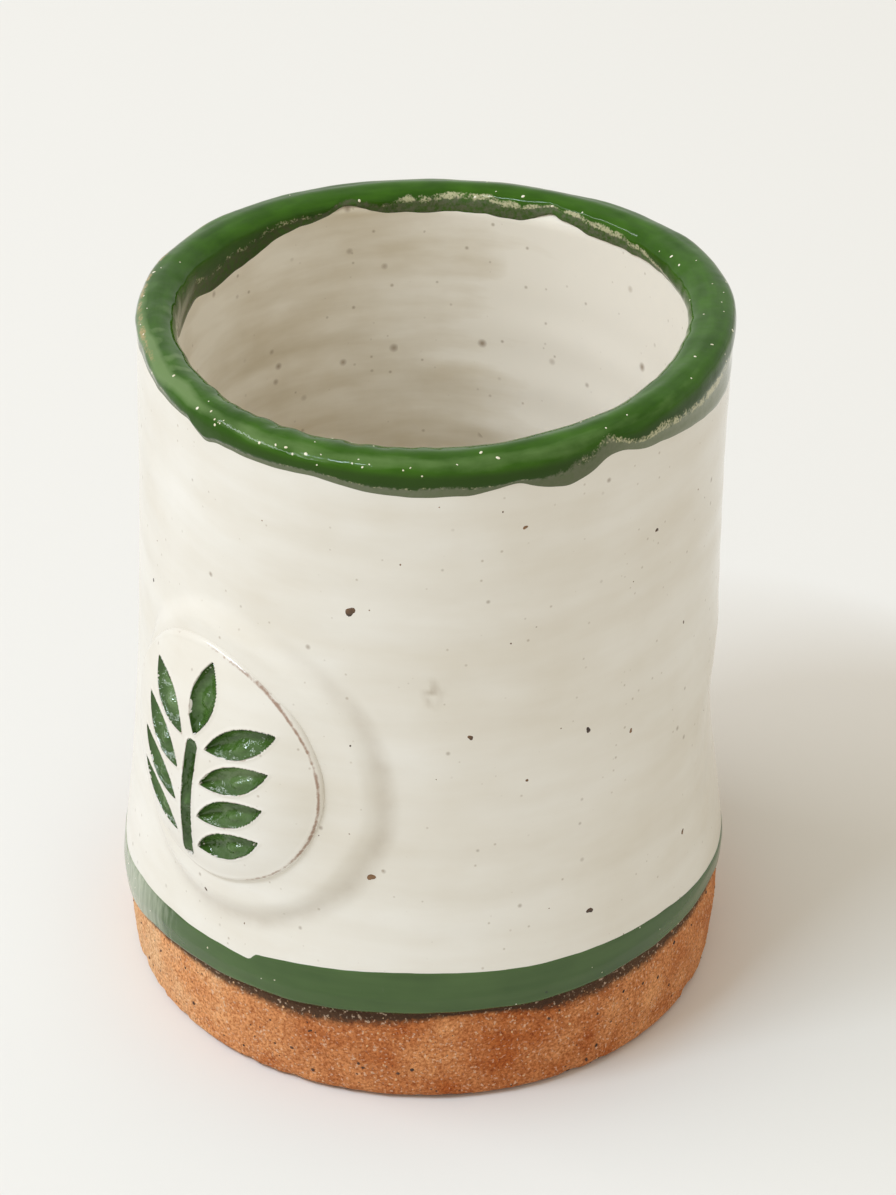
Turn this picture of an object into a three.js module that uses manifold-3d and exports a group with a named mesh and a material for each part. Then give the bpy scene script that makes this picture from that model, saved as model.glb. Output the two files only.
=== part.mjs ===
// A wheel-thrown pottery mug without a handle. The clay body carries a carved clay medallion on
// its front. Fired glaze coats cover the wall, the inside, the lip and a band above the bare foot,
// and the carved sprig on the medallion is filled with glaze too.
// Millimetres, +Z up. The origin is the middle of the flat base, and the medallion faces -Y.
import * as THREE from "three";
import { mergeVertices } from "three/addons/utils/BufferGeometryUtils.js";
import Module from "manifold-3d";

const wasm = await Module();
wasm.setup();

// Thrown clay body: the radius of the bare belly, how far the clay draws in from it at other
// heights, and the clay's thicknesses
const CLAY_HEIGHT = 95.2;
const BELLY_RADIUS = 43.1;
const BELLY_HEIGHT = 10;
const FOOT_TUCK = 0.7;
const FOOT_ROUNDING = 1.6;
const SIDE_TAPER = 1.9;
const SIDE_HEIGHT = 32;
const WAIST_TAPER = 3.15;
const WAIST_HEIGHT = 66;
const LIP_TAPER = 3.1;
const LIP_THICKNESS = 3.5;
const WALL_THICKNESS = 5.2;
const FLOOR_THICKNESS = 7;
const FLOOR_FILLET = 10;

// What the potter's hands did to the round form: depths in millimetres, directions in degrees from +X
const OVAL = 1.7;
const OVAL_DIRECTION = -40;
const LEAN = 1.7;
const LEAN_DIRECTION = 42;
const RIM_LOBE = 0.8;
const RIM_LOBE_COUNT = 3;
const RIM_LOBE_DIRECTION = -57;
const RIM_SWAY = 0.8;
const DENT_DEPTH = 1.2;
const DENT_REACH = 16;
const DENT_HEIGHT = 36;
const DENT_DIRECTION = 33;

// Glaze coats: each stands a seat gap off the clay and off its neighbour
const SEAT_GAP = 0.25;
const WALL_GLAZE = 0.75;
const LINER_GLAZE = 0.6;
const RIM_GLAZE = 1.05;
const BAND_GLAZE = 0.85;
const COAT_EDGE_SHARE = 0.45;
const RIM_GLAZE_OUTSIDE = 4.2;
const RIM_GLAZE_INSIDE = 2.7;
const RIM_WAVE = 0.9;
const RIM_WAVE_COUNT = 3;
const RIM_WAVE_REACH = 6;
const RIM_WAVE_DIRECTION = -76;
const BAND_BOTTOM = 12.6;
const BAND_TOP = 19.1;
const BAND_WAVE = 1.6;

// Medallion: a domed clay disc, luted to the wall with slip
const MEDALLION_HEIGHT = 46.8;
const MEDALLION_EDGE = 1.1;
const MEDALLION_DOME = 2.3;
const MEDALLION_BORDER = 1.1;
const MEDALLION_GLAZE = 0.6;
const SLIP_THICKNESS = 0.4;
const SLIP_MARGIN = 1;
const SWELL_DEPTH = 0.8;
const SWELL_MARGIN = 10;

// Sprig carved into the medallion: a stem, leaves in pairs and one leaf at the tip
const LEAF_PAIRS = 4;
const LEAF_LENGTH = 10.5;
const LEAF_WIDTH = 3.9;
const LEAF_RIDGE = 0.2;
const LEAF_ANGLE = 56;
const LEAF_START = 2.4;
const STEM_WIDTH = 1.8;
const STEM_TAIL = 1.6;
const STEM_TIP = 1.6;
const TIP_LEAF_START = 0.8;
const SPRIG_TILT = 7;
const CARVE_DEPTH = 1;
const INLAY_SINK = 0.5;

// Fineness of the facets
const TURN_SEGMENTS = 44;
const ROW_COUNT = 8;
const ARC_STEPS = 4;
const DISC_SEGMENTS = 30;
const DISC_RINGS = 4;
const LEAF_STEPS = 6;

const radians = THREE.MathUtils.degToRad;
const clamp = THREE.MathUtils.clamp;
const front = radians(-90);

// Smooth bump: 1 at distance 0, falling to 0 at distance 1
function bump(distance) {
  return (1 - Math.min(distance * distance, 1)) ** 2;
}

// The smallest turn from one direction to another
function turnBetween(from, to) {
  return Math.atan2(Math.sin(to - from), Math.cos(to - from));
}

// Outer radius of the round clay wall at a height, drawn in from the belly by a smooth curve
const wallCurve = new THREE.CubicInterpolant(
  [0, BELLY_HEIGHT, SIDE_HEIGHT, WAIST_HEIGHT, CLAY_HEIGHT],
  [FOOT_TUCK, 0, SIDE_TAPER, WAIST_TAPER, LIP_TAPER],
  1,
);
function wallRadius(z) {
  return BELLY_RADIUS - wallCurve.evaluate(z)[0];
}

// The lip is a half round, and the wall thickens from it down to the floor
const lipRounding = LIP_THICKNESS / 2;
const lipStart = CLAY_HEIGHT - lipRounding;
function wallThickness(z) {
  const drop = clamp((lipStart - z) / (lipStart - FLOOR_THICKNESS), 0, 1);
  return THREE.MathUtils.lerp(LIP_THICKNESS, WALL_THICKNESS, drop);
}
function innerRadius(z) {
  return wallRadius(z) - wallThickness(z);
}

// Samples of the clay surface: a point of the section (radius, height) and its outward normal
function sample(radius, z, normalRadius, normalZ) {
  return { point: new THREE.Vector2(radius, z), normal: new THREE.Vector2(normalRadius, normalZ) };
}
function outside(z) {
  return sample(wallRadius(z), z, 1, 0);
}
function inside(z) {
  return sample(innerRadius(z), z, -1, 0);
}

// Rows of facets on the wall: at the belly, at the edges of the coats and evenly between them
const rimEdge = CLAY_HEIGHT - RIM_GLAZE_OUTSIDE;
const wallRows = [BELLY_HEIGHT, BAND_BOTTOM];
for (let row = 0; row <= ROW_COUNT; row++) {
  wallRows.push(THREE.MathUtils.lerp(BAND_TOP, rimEdge, row / ROW_COUNT));
}
wallRows.sort((lower, higher) => lower - higher);

// Heights of the wall rows strictly between two heights, rising
function rowsBetween(low, high) {
  return wallRows.filter((z) => z > low && z < high);
}
function outsideRun(low, high) {
  return [low, ...rowsBetween(low, high), high].map(outside);
}
function insideRun(high, low) {
  return [high, ...rowsBetween(low, high).reverse(), low].map(inside);
}

// A quarter or half round of the section, from one angle to another, both ends included
function arcRun(centreRadius, centreZ, rounding, fromDegrees, toDegrees, facing) {
  const samples = [];
  for (let step = 0; step <= ARC_STEPS; step++) {
    const angle = radians(THREE.MathUtils.lerp(fromDegrees, toDegrees, step / ARC_STEPS));
    const across = Math.cos(angle);
    const up = Math.sin(angle);
    const radius = centreRadius + rounding * across;
    const z = centreZ + rounding * up;
    samples.push(sample(radius, z, facing * across, facing * up));
  }
  return samples;
}
const lipRun = arcRun(wallRadius(lipStart) - lipRounding, lipStart, lipRounding, 0, 180, 1);
const filletTop = FLOOR_THICKNESS + FLOOR_FILLET;
const filletCentre = innerRadius(filletTop) - FLOOR_FILLET;
const filletRun = arcRun(filletCentre, filletTop, FLOOR_FILLET, 0, -90, -1);
const floorRun = [sample(filletCentre / 2, FLOOR_THICKNESS, 0, 1), sample(0, FLOOR_THICKNESS, 0, 1)];
const footRun = arcRun(
  wallRadius(FOOT_ROUNDING) - FOOT_ROUNDING, FOOT_ROUNDING, FOOT_ROUNDING, -90, 0, 1);

// The section of a coat over a run of samples: near side and far side, thinner at its free ends
function coatSection(run, thickness) {
  const last = run.length - 1;
  const endsOnAxis = run[last].point.x === 0;
  const offset = (distance) => ({ point, normal }) => point.clone().addScaledVector(normal, distance);
  const near = run.map(offset(SEAT_GAP)).reverse();
  const far = run.map((place, index) => {
    const isFreeEnd = index === 0 || (index === last && !endsOnAxis);
    return offset(SEAT_GAP + thickness * (isFreeEnd ? COAT_EDGE_SHARE : 1))(place);
  });
  return endsOnAxis ? [...near, ...far] : [...near, ...far, near[0]];
}

// Revolve a section of (radius, height) round the upright axis
function revolve(section, segments) {
  return new THREE.LatheGeometry(section, segments).rotateX(Math.PI / 2);
}

// Move each vertex of a geometry by a function of its place
function reshape(geometry, move) {
  const place = new THREE.Vector3();
  const positions = geometry.getAttribute("position");
  for (let index = 0; index < positions.count; index++) {
    place.fromBufferAttribute(positions, index);
    positions.setXYZ(index, ...move(place).toArray());
  }
  return geometry;
}

// Sizes of the sprig and the disc that carries it. The disc's coordinates are u to the right,
// v up and h out from the clay wall.
const leafTurn = radians(LEAF_ANGLE);
const leafSpacing = (LEAF_WIDTH + 2 * SEAT_GAP + LEAF_RIDGE) / Math.sin(leafTurn);
const stemLength = STEM_TAIL + leafSpacing * (LEAF_PAIRS - 1) + STEM_TIP;
const sprigHeight = stemLength + TIP_LEAF_START + LEAF_LENGTH;
const stemFoot = -sprigHeight / 2;
const stemTop = stemFoot + stemLength;
const topPair = stemTop - STEM_TIP;
const leafReach = LEAF_START + LEAF_LENGTH;
const topPairReach = Math.hypot(
  leafReach * Math.sin(leafTurn), topPair + leafReach * Math.cos(leafTurn));
const medallionRadius = Math.max(sprigHeight / 2, topPairReach) + MEDALLION_BORDER;
const discBack = SEAT_GAP + SLIP_THICKNESS + SEAT_GAP;
const skirtRadius = medallionRadius + SEAT_GAP + MEDALLION_GLAZE;
const swellReach = medallionRadius + SWELL_MARGIN;

// Height of the clay disc's domed front above the wall
function domeHeight(distance) {
  return discBack + MEDALLION_EDGE + MEDALLION_DOME * (1 - (distance / medallionRadius) ** 2);
}

// Bend disc coordinates onto the front of the round wall
function onWall({ x: u, y: v, z: h }) {
  const z = MEDALLION_HEIGHT + v;
  const angle = front + u / wallRadius(MEDALLION_HEIGHT);
  const radius = wallRadius(z) + h;
  return new THREE.Vector3(radius * Math.cos(angle), radius * Math.sin(angle), z);
}
function onDome({ x: u, y: v, z: h }) {
  return onWall(new THREE.Vector3(u, v, h + domeHeight(Math.hypot(u, v))));
}

// How far a place is through the wall: 0 at the inner face, 1 at the outer face and beyond
function throughWall(radius, z) {
  return clamp((radius - innerRadius(z)) / wallThickness(z), 0, 1);
}

// Press the round form into the potter's shape. Every piece goes through this one function,
// so neighbours stay the same distance apart.
const bandMiddle = (BAND_BOTTOM + BAND_TOP) / 2;
function pressByHand({ x, y, z }) {
  const radius = Math.hypot(x, y);
  const angle = Math.atan2(y, x);
  const rise = z / CLAY_HEIGHT;
  const wall = wallRadius(z);
  const outerShare = throughWall(radius, z);

  const dentAcross = turnBetween(radians(DENT_DIRECTION), angle) * wall;
  const dent = DENT_DEPTH * bump(Math.hypot(dentAcross, z - DENT_HEIGHT) / DENT_REACH);
  const swellAcross = turnBetween(front, angle) * wall;
  const swell = SWELL_DEPTH * bump(Math.hypot(swellAcross, z - MEDALLION_HEIGHT) / swellReach);
  const oval = OVAL * Math.cos(2 * (angle - radians(OVAL_DIRECTION)));
  const lobe = RIM_LOBE * rise ** 2 * Math.cos(RIM_LOBE_COUNT * (angle - radians(RIM_LOBE_DIRECTION)));
  const pressed = radius + ((oval + lobe - dent) * radius) / wall + swell * outerShare;

  const fromAxis = Math.min(radius / wall, 1);
  const sway = RIM_SWAY * rise ** 2 * fromAxis * Math.cos(angle - radians(LEAN_DIRECTION));
  const bandShift = BAND_WAVE * outerShare * bump((z - bandMiddle) / bandMiddle)
    * Math.cos(2 * (angle - radians(OVAL_DIRECTION)));
  const rimShift = RIM_WAVE * fromAxis * bump((z - rimEdge) / RIM_WAVE_REACH)
    * Math.cos(RIM_WAVE_COUNT * (angle - radians(RIM_WAVE_DIRECTION)));

  const lean = radians(LEAN_DIRECTION);
  return new THREE.Vector3(
    pressed * Math.cos(angle) + LEAN * rise * Math.cos(lean),
    pressed * Math.sin(angle) + LEAN * rise * Math.sin(lean),
    z + sway + bandShift + rimShift,
  );
}

// Solids for cutting, and the cut solid as a geometry again
function solidOf(geometry) {
  const bare = new THREE.BufferGeometry().setAttribute("position", geometry.getAttribute("position"));
  bare.setIndex(geometry.getIndex());
  const merged = mergeVertices(bare, 1e-4);
  const triVerts = new Uint32Array(merged.getIndex().array);
  const vertProperties = new Float32Array(merged.getAttribute("position").array);
  return new wasm.Manifold(new wasm.Mesh({ numProp: 3, vertProperties, triVerts }));
}
function cut(geometry, cutters) {
  const solid = cutters.reduce((rest, cutter) => rest.subtract(solidOf(cutter)), solidOf(geometry));
  const { vertProperties, triVerts } = solid.getMesh();
  const result = new THREE.BufferGeometry();
  result.setAttribute("position", new THREE.BufferAttribute(vertProperties, 3));
  result.setIndex(new THREE.BufferAttribute(triVerts, 1));
  return result;
}

// A revolved piece of the disc: a section of (distance from its middle, height off the wall)
function discPiece(section) {
  return reshape(revolve(section, DISC_SEGMENTS), onWall);
}
function ringRun(radius, height) {
  const run = [];
  for (let ring = 0; ring <= DISC_RINGS; ring++) {
    const distance = (radius * ring) / DISC_RINGS;
    run.push(new THREE.Vector2(distance, height(distance)));
  }
  return run;
}

// Outline of a leaf that points along +v, from its base to its tip
function leafOutline(length, width) {
  const shape = new THREE.Shape();
  shape.moveTo(0, 0);
  shape.quadraticCurveTo(width, length / 2, 0, length);
  shape.quadraticCurveTo(-width, length / 2, 0, 0);
  return shape;
}
function stemOutline(length, width) {
  const shape = new THREE.Shape();
  const half = width / 2;
  shape.absarc(0, half, half, Math.PI, 2 * Math.PI);
  shape.absarc(0, length - half, half, 0, Math.PI);
  return shape;
}

// One stroke of the sprig, from a height below the domed clay to a height above it, grown by a
// margin all round. The stroke is drawn upright, then turned and moved to its place.
function strokeGeometry({ outline, length, width, turn, start, u, v }, margin, low, high) {
  const shape = outline(length + 2 * margin, width + 2 * margin);
  const settings = { depth: high - low, bevelEnabled: false, curveSegments: LEAF_STEPS };
  const geometry = new THREE.ExtrudeGeometry(shape, settings);
  geometry.translate(0, start - margin, low);
  geometry.rotateZ(-turn);
  geometry.translate(u, v, 0);
  geometry.rotateZ(-radians(SPRIG_TILT));
  return reshape(geometry, onDome);
}
function sprigStrokes() {
  const leaf = { outline: leafOutline, length: LEAF_LENGTH, width: LEAF_WIDTH, u: 0 };
  const strokes = [
    { name: "stem_glaze", outline: stemOutline, length: stemLength, width: STEM_WIDTH,
      turn: 0, start: 0, u: 0, v: stemFoot },
    { ...leaf, name: "tip_leaf_glaze", turn: 0, start: TIP_LEAF_START, v: stemTop },
  ];
  for (let pair = 0; pair < LEAF_PAIRS; pair++) {
    const v = topPair - pair * leafSpacing;
    const place = pair + 1;
    strokes.push({ ...leaf, name: `left_leaf_glaze_${place}`, turn: -leafTurn, start: LEAF_START, v });
    strokes.push({ ...leaf, name: `right_leaf_glaze_${place}`, turn: leafTurn, start: LEAF_START, v });
  }
  return strokes;
}
const strokes = sprigStrokes();
const carveTop = SEAT_GAP + MEDALLION_GLAZE + MEDALLION_DOME;
const carvings = strokes.map((stroke) => strokeGeometry(stroke, SEAT_GAP, -CARVE_DEPTH, carveTop));

// Pieces
const mug = new THREE.Group();
function addPiece(name, geometry, material) {
  const piece = new THREE.Mesh(reshape(geometry, pressByHand), material);
  piece.geometry.computeVertexNormals();
  piece.name = name;
  mug.add(piece);
}
function finish(color, roughness) {
  return new THREE.MeshStandardMaterial({ color, roughness, metalness: 0 });
}
const bareClay = finish("#a8613c", 0.9);
const driedSlip = finish("#b98562", 0.95);
const whiteGlaze = finish("#d9d6cf", 0.18);
const greenGlaze = finish("#1f4637", 0.12);
const satinGreenGlaze = finish("#3c5a4c", 0.3);

// Clay body: flat base, rounded foot, wall, half-round lip, inner wall and floor
const claySection = [
  new THREE.Vector2(0, 0),
  ...[
    ...footRun,
    ...outsideRun(FOOT_ROUNDING, lipStart).slice(1, -1),
    ...lipRun,
    ...insideRun(lipStart, filletTop).slice(1, -1),
    ...filletRun,
    ...floorRun,
  ].map(({ point }) => point),
];
addPiece("clay_body", revolve(claySection, TURN_SEGMENTS), bareClay);

// Glaze coats of the thrown body
const rimEdgeInside = CLAY_HEIGHT - RIM_GLAZE_INSIDE;
const rimRun = [
  ...outsideRun(rimEdge, lipStart).slice(0, -1),
  ...lipRun,
  ...insideRun(lipStart, rimEdgeInside).slice(1),
];
const linerRun = [
  ...insideRun(rimEdgeInside - SEAT_GAP, filletTop).slice(0, -1),
  ...filletRun,
  ...floorRun,
];
const bandRun = outsideRun(BAND_BOTTOM, BAND_TOP);
const wallRun = outsideRun(BAND_TOP + SEAT_GAP, rimEdge - SEAT_GAP);
addPiece("rim_glaze", revolve(coatSection(rimRun, RIM_GLAZE), TURN_SEGMENTS), greenGlaze);
addPiece("liner_glaze", revolve(coatSection(linerRun, LINER_GLAZE), TURN_SEGMENTS), whiteGlaze);
addPiece("foot_band_glaze", revolve(coatSection(bandRun, BAND_GLAZE), TURN_SEGMENTS), satinGreenGlaze);

// The wall coat leaves a round window where the medallion sits
const windowRadius = skirtRadius + SEAT_GAP;
const windowSection = [
  new THREE.Vector2(0, -WALL_THICKNESS / 2),
  new THREE.Vector2(windowRadius, -WALL_THICKNESS / 2),
  new THREE.Vector2(windowRadius, WALL_THICKNESS),
  new THREE.Vector2(0, WALL_THICKNESS),
];
const wallCoat = revolve(coatSection(wallRun, WALL_GLAZE), TURN_SEGMENTS);
addPiece("wall_glaze", cut(wallCoat, [discPiece(windowSection)]), whiteGlaze);

// Medallion: slip bed, domed disc with the carved strokes, and its own glaze coat
const slipRadius = medallionRadius - SLIP_MARGIN;
const slipSection = [
  ...ringRun(slipRadius, () => SEAT_GAP),
  ...ringRun(slipRadius, () => SEAT_GAP + SLIP_THICKNESS).reverse(),
];
addPiece("slip_bed", discPiece(slipSection), driedSlip);

const discSection = [
  ...ringRun(medallionRadius, () => discBack),
  ...ringRun(medallionRadius, domeHeight).reverse(),
];
addPiece("clay_medallion", cut(discPiece(discSection), carvings), bareClay);

const coatNear = ringRun(medallionRadius, (distance) => domeHeight(distance) + SEAT_GAP);
const coatFar = ringRun(medallionRadius, (distance) => domeHeight(distance) + SEAT_GAP + MEDALLION_GLAZE);
const skirtTop = domeHeight(medallionRadius) + SEAT_GAP;
const skirtSection = [
  ...coatNear,
  new THREE.Vector2(medallionRadius + SEAT_GAP, skirtTop),
  new THREE.Vector2(medallionRadius + SEAT_GAP, SEAT_GAP),
  new THREE.Vector2(skirtRadius, SEAT_GAP),
  new THREE.Vector2(skirtRadius, skirtTop),
  ...coatFar.reverse(),
];
addPiece("medallion_glaze", cut(discPiece(skirtSection), carvings), whiteGlaze);

// Green glaze pooled in each carved stroke
const inlayTop = SEAT_GAP + MEDALLION_GLAZE - INLAY_SINK;
for (const stroke of strokes) {
  const inlay = strokeGeometry(stroke, 0, SEAT_GAP - CARVE_DEPTH, inlayTop);
  addPiece(stroke.name, inlay, greenGlaze);
}

export default mug;
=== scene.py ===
# %% [markdown]
# # A hand-thrown pottery mug
# A mug like this is one lump of red clay, thrown on a wheel, with a carved clay disc stuck to its
# front. White glaze covers the wall and the inside, thick green glaze is rolled over the lip and
# pooled in the carving, and a green band is painted above the bare foot.
# This lesson builds each of those layers as its own mesh. All of them follow one rule for the round
# form and one rule for how the potter's hands pressed it, so the layers fit without any nudging.

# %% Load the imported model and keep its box
import functools
import math
import bmesh
import bpy
import numpy as np
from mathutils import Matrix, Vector, noise


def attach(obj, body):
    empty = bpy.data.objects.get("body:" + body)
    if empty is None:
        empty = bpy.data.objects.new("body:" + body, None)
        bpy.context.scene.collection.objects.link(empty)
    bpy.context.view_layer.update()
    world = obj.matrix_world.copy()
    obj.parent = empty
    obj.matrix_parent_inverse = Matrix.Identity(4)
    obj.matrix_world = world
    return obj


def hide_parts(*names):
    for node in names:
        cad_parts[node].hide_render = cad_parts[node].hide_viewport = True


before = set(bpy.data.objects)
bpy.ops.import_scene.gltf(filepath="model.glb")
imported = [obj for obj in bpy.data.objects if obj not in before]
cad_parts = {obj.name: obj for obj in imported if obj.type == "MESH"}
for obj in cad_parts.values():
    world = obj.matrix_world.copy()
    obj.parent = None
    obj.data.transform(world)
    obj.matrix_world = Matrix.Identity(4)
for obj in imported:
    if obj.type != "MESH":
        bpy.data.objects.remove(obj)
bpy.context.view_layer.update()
print("CAD nodes:", sorted(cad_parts))

# %% [markdown]
# ## The view, the floor and the light
# The camera stands where the photo was taken: 30 degrees above the table, 42 degrees round from the
# front of the mug, with a long lens. The floor is a plain pale sheet. One soft lamp plays a window
# and a large weak one the bright wall beside it, and an even pale surrounding fills the shadows, as
# white walls and a white table do.

# %% Camera
MM = 0.001
VIEW_TURN = math.radians(42)
VIEW_RISE = math.radians(30.3)
VIEW_DISTANCE = 545.2 * MM
VIEW_ASIDE = 3.77 * MM
VIEW_HEIGHT = 52.12 * MM

camera_data = bpy.data.cameras.new("camera")
camera_data.lens = 120
camera_data.sensor_width = 36
camera = bpy.data.objects.new("camera", camera_data)
bpy.context.collection.objects.link(camera)
view_right = Vector((math.cos(VIEW_TURN), math.sin(VIEW_TURN), 0))
view_back = Vector((
    math.sin(VIEW_TURN) * math.cos(VIEW_RISE),
    -math.cos(VIEW_TURN) * math.cos(VIEW_RISE),
    math.sin(VIEW_RISE),
))
view_target = view_right * VIEW_ASIDE + Vector((0, 0, VIEW_HEIGHT))
camera.location = view_target + view_back * VIEW_DISTANCE
camera.rotation_euler = view_back.to_track_quat("Z", "Y").to_euler()
bpy.context.scene.camera = camera
bpy.context.scene.view_settings.view_transform = "Standard"
print("camera at", [round(value, 3) for value in camera.location])

# %% Functions for colours, nodes and layers of colour
def linear(hex_text):
    """An sRGB hex colour as linear red, green, blue and alpha."""
    shares = [int(hex_text[place:place + 2], 16) / 255 for place in (1, 3, 5)]
    return [share / 12.92 if share <= 0.04045 else ((share + 0.055) / 1.055) ** 2.4
            for share in shares] + [1]


def add_node(tree, kind, sockets=None, **settings):
    """Add a node, give it its settings, and set or link its input sockets.

    A node given for a socket stands for its first output in use, and a hex text for its colour.
    """
    node = tree.nodes.new(kind)
    for setting, value in settings.items():
        setattr(node, setting, value)
    for socket, value in (sockets or {}).items():
        if isinstance(value, bpy.types.Node):
            value = next(output for output in value.outputs if output.enabled)
        if isinstance(value, bpy.types.NodeSocket):
            tree.links.new(value, node.inputs[socket])
        else:
            node.inputs[socket].default_value = linear(value) if isinstance(value, str) else value
    return node


def new_material(name):
    """A material with an empty node tree, and the function that adds nodes to it."""
    material = bpy.data.materials.new(name)
    material.use_nodes = True
    material.node_tree.nodes.clear()
    return material, functools.partial(add_node, material.node_tree)


def lay_over(add, under, over, mask, low, high, most=1):
    """Lay one colour over another, more of it as a mask rises from low to high."""
    share = add("ShaderNodeMapRange", {"Value": mask, "From Min": low, "From Max": high, "To Max": most})
    return add("ShaderNodeMix", {0: share, 6: under, 7: over}, data_type="RGBA")


def per(size):
    """Texture scale for features of about this many millimetres."""
    return 1 / (size * MM)


# %% Floor and surroundings
FLOOR_HALF = 3
FLOOR_DROP = 0.1 * MM
FLOOR_CORNERS = [(-1, -1), (1, -1), (1, 1), (-1, 1)]
ROOM_LIGHT = 0.72

floor_material, add = new_material("pale_matt_table")
paper = add("ShaderNodeBsdfPrincipled", {
    "Base Color": "#e7e7e5", "Roughness": 0.9, "Specular IOR Level": 0.2})
add("ShaderNodeOutputMaterial", {"Surface": paper})

floor_mesh = bpy.data.meshes.new("floor")
floor_mesh.from_pydata(
    [(x * FLOOR_HALF, y * FLOOR_HALF, -FLOOR_DROP) for x, y in FLOOR_CORNERS], [], [(0, 1, 2, 3)])
floor_mesh.materials.append(floor_material)
floor = bpy.data.objects.new("floor", floor_mesh)
bpy.context.collection.objects.link(floor)

world = bpy.data.worlds.new("pale_room")
world.use_nodes = True
world.node_tree.nodes.clear()
add = functools.partial(add_node, world.node_tree)
rays = add("ShaderNodeLightPath").outputs
seen = rays["Is Camera Ray"]
for kind in ("Is Glossy Ray", "Is Transmission Ray"):
    seen = add("ShaderNodeMath", {0: seen, 1: rays[kind]}, operation="MAXIMUM")
room = add("ShaderNodeBackground", {"Color": "#fff6e5", "Strength": ROOM_LIGHT})
backdrop = add("ShaderNodeBackground", {"Color": "#f6f5f2", "Strength": 1.0})
shown = add("ShaderNodeMixShader", {0: seen, 1: room, 2: backdrop})
add("ShaderNodeOutputWorld", {"Surface": shown})
bpy.context.scene.world = world

# %% Lamps
WINDOW_DIRECTION = math.radians(-104)
WINDOW_RISE = math.radians(55)
WINDOW_DISTANCE = 3
WINDOW_SIZE = (1.1, 0.07)
WINDOW_POWER = 35.5
SIDE_DIRECTION = math.radians(-136)
SIDE_RISE = math.radians(42)
SIDE_DISTANCE = 2.5
SIDE_SIZE = (2, 0.2)
SIDE_POWER = 21


def add_lamp(name, direction, rise, distance, size, power, colour):
    """A soft lamp, so wide and so high, that looks at the middle of the mug."""
    lamp_data = bpy.data.lights.new(name, "AREA")
    lamp_data.shape = "RECTANGLE"
    lamp_data.size, lamp_data.size_y = size
    lamp_data.energy = power
    lamp_data.color = linear(colour)[:3]
    lamp = bpy.data.objects.new(name, lamp_data)
    bpy.context.collection.objects.link(lamp)
    away = Vector((math.cos(direction) * math.cos(rise), math.sin(direction) * math.cos(rise),
                   math.sin(rise)))
    lamp.location = Vector((0, 0, VIEW_HEIGHT)) + away * distance
    lamp.rotation_euler = away.to_track_quat("Z", "Y").to_euler()


add_lamp("window", WINDOW_DIRECTION, WINDOW_RISE, WINDOW_DISTANCE, WINDOW_SIZE, WINDOW_POWER, "#dcedff")
add_lamp("bright_side_wall", SIDE_DIRECTION, SIDE_RISE, SIDE_DISTANCE, SIDE_SIZE, SIDE_POWER, "#f4f6ff")
print("floor, surroundings and two lamps are in place")

# %% [markdown]
# ## The round form
# Thrown pots start round. The wall's radius is a smooth curve through a few measured heights, and
# the section runs up the outside, over a half-round lip, down the inside, round a fillet and over
# the floor. A coat of glaze is then just a second line at some distance from that section, which is
# why one function for the section serves every layer.

# %% Sizes of the thrown clay, in millimetres as in the CAD model
CLAY_HEIGHT = 95.2
BELLY_RADIUS = 43.1
WALL_HEIGHTS = np.array([0, 10, 32, 66, CLAY_HEIGHT])
WALL_TAPERS = np.array([0.7, 0, 1.9, 3.15, 3.1])
FOOT_ROUNDING = 1.6
LIP_THICKNESS = 3.5
WALL_THICKNESS = 5.2
FLOOR_THICKNESS = 7
FLOOR_FILLET = 10
LIP_ROUNDING = LIP_THICKNESS / 2
LIP_START = CLAY_HEIGHT - LIP_ROUNDING
LIP_QUARTER = LIP_ROUNDING * math.pi / 2
FILLET_TOP = FLOOR_THICKNESS + FLOOR_FILLET


def wall_radius(z):
    """Outer radius of the round clay wall at a height."""
    secants = np.diff(WALL_TAPERS) / np.diff(WALL_HEIGHTS)
    slopes = np.concatenate([secants[:1], (secants[:-1] + secants[1:]) / 2, secants[-1:]])
    z = np.clip(z, 0, CLAY_HEIGHT)
    low = np.clip(np.searchsorted(WALL_HEIGHTS, z, side="right") - 1, 0, len(secants) - 1)
    span = WALL_HEIGHTS[low + 1] - WALL_HEIGHTS[low]
    share = (z - WALL_HEIGHTS[low]) / span
    taper = ((2 * share**3 - 3 * share**2 + 1) * WALL_TAPERS[low]
             + (share**3 - 2 * share**2 + share) * span * slopes[low]
             + (3 * share**2 - 2 * share**3) * WALL_TAPERS[low + 1]
             + (share**3 - share**2) * span * slopes[low + 1])
    return BELLY_RADIUS - taper


def wall_thickness(z):
    """Thickness of the clay wall: thin at the lip, thick at the floor."""
    drop = np.clip((LIP_START - z) / (LIP_START - FLOOR_THICKNESS), 0, 1)
    return LIP_THICKNESS + (WALL_THICKNESS - LIP_THICKNESS) * drop


def inner_radius(z):
    """Inner radius of the round clay wall at a height."""
    return wall_radius(z) - wall_thickness(z)


FILLET_CENTRE = float(inner_radius(FILLET_TOP)) - FLOOR_FILLET
INSIDE_WALL = LIP_QUARTER + LIP_START - FILLET_TOP
INSIDE_FILLET = INSIDE_WALL + FLOOR_FILLET * math.pi / 2
INSIDE_FLOOR = INSIDE_FILLET + FILLET_CENTRE


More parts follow.
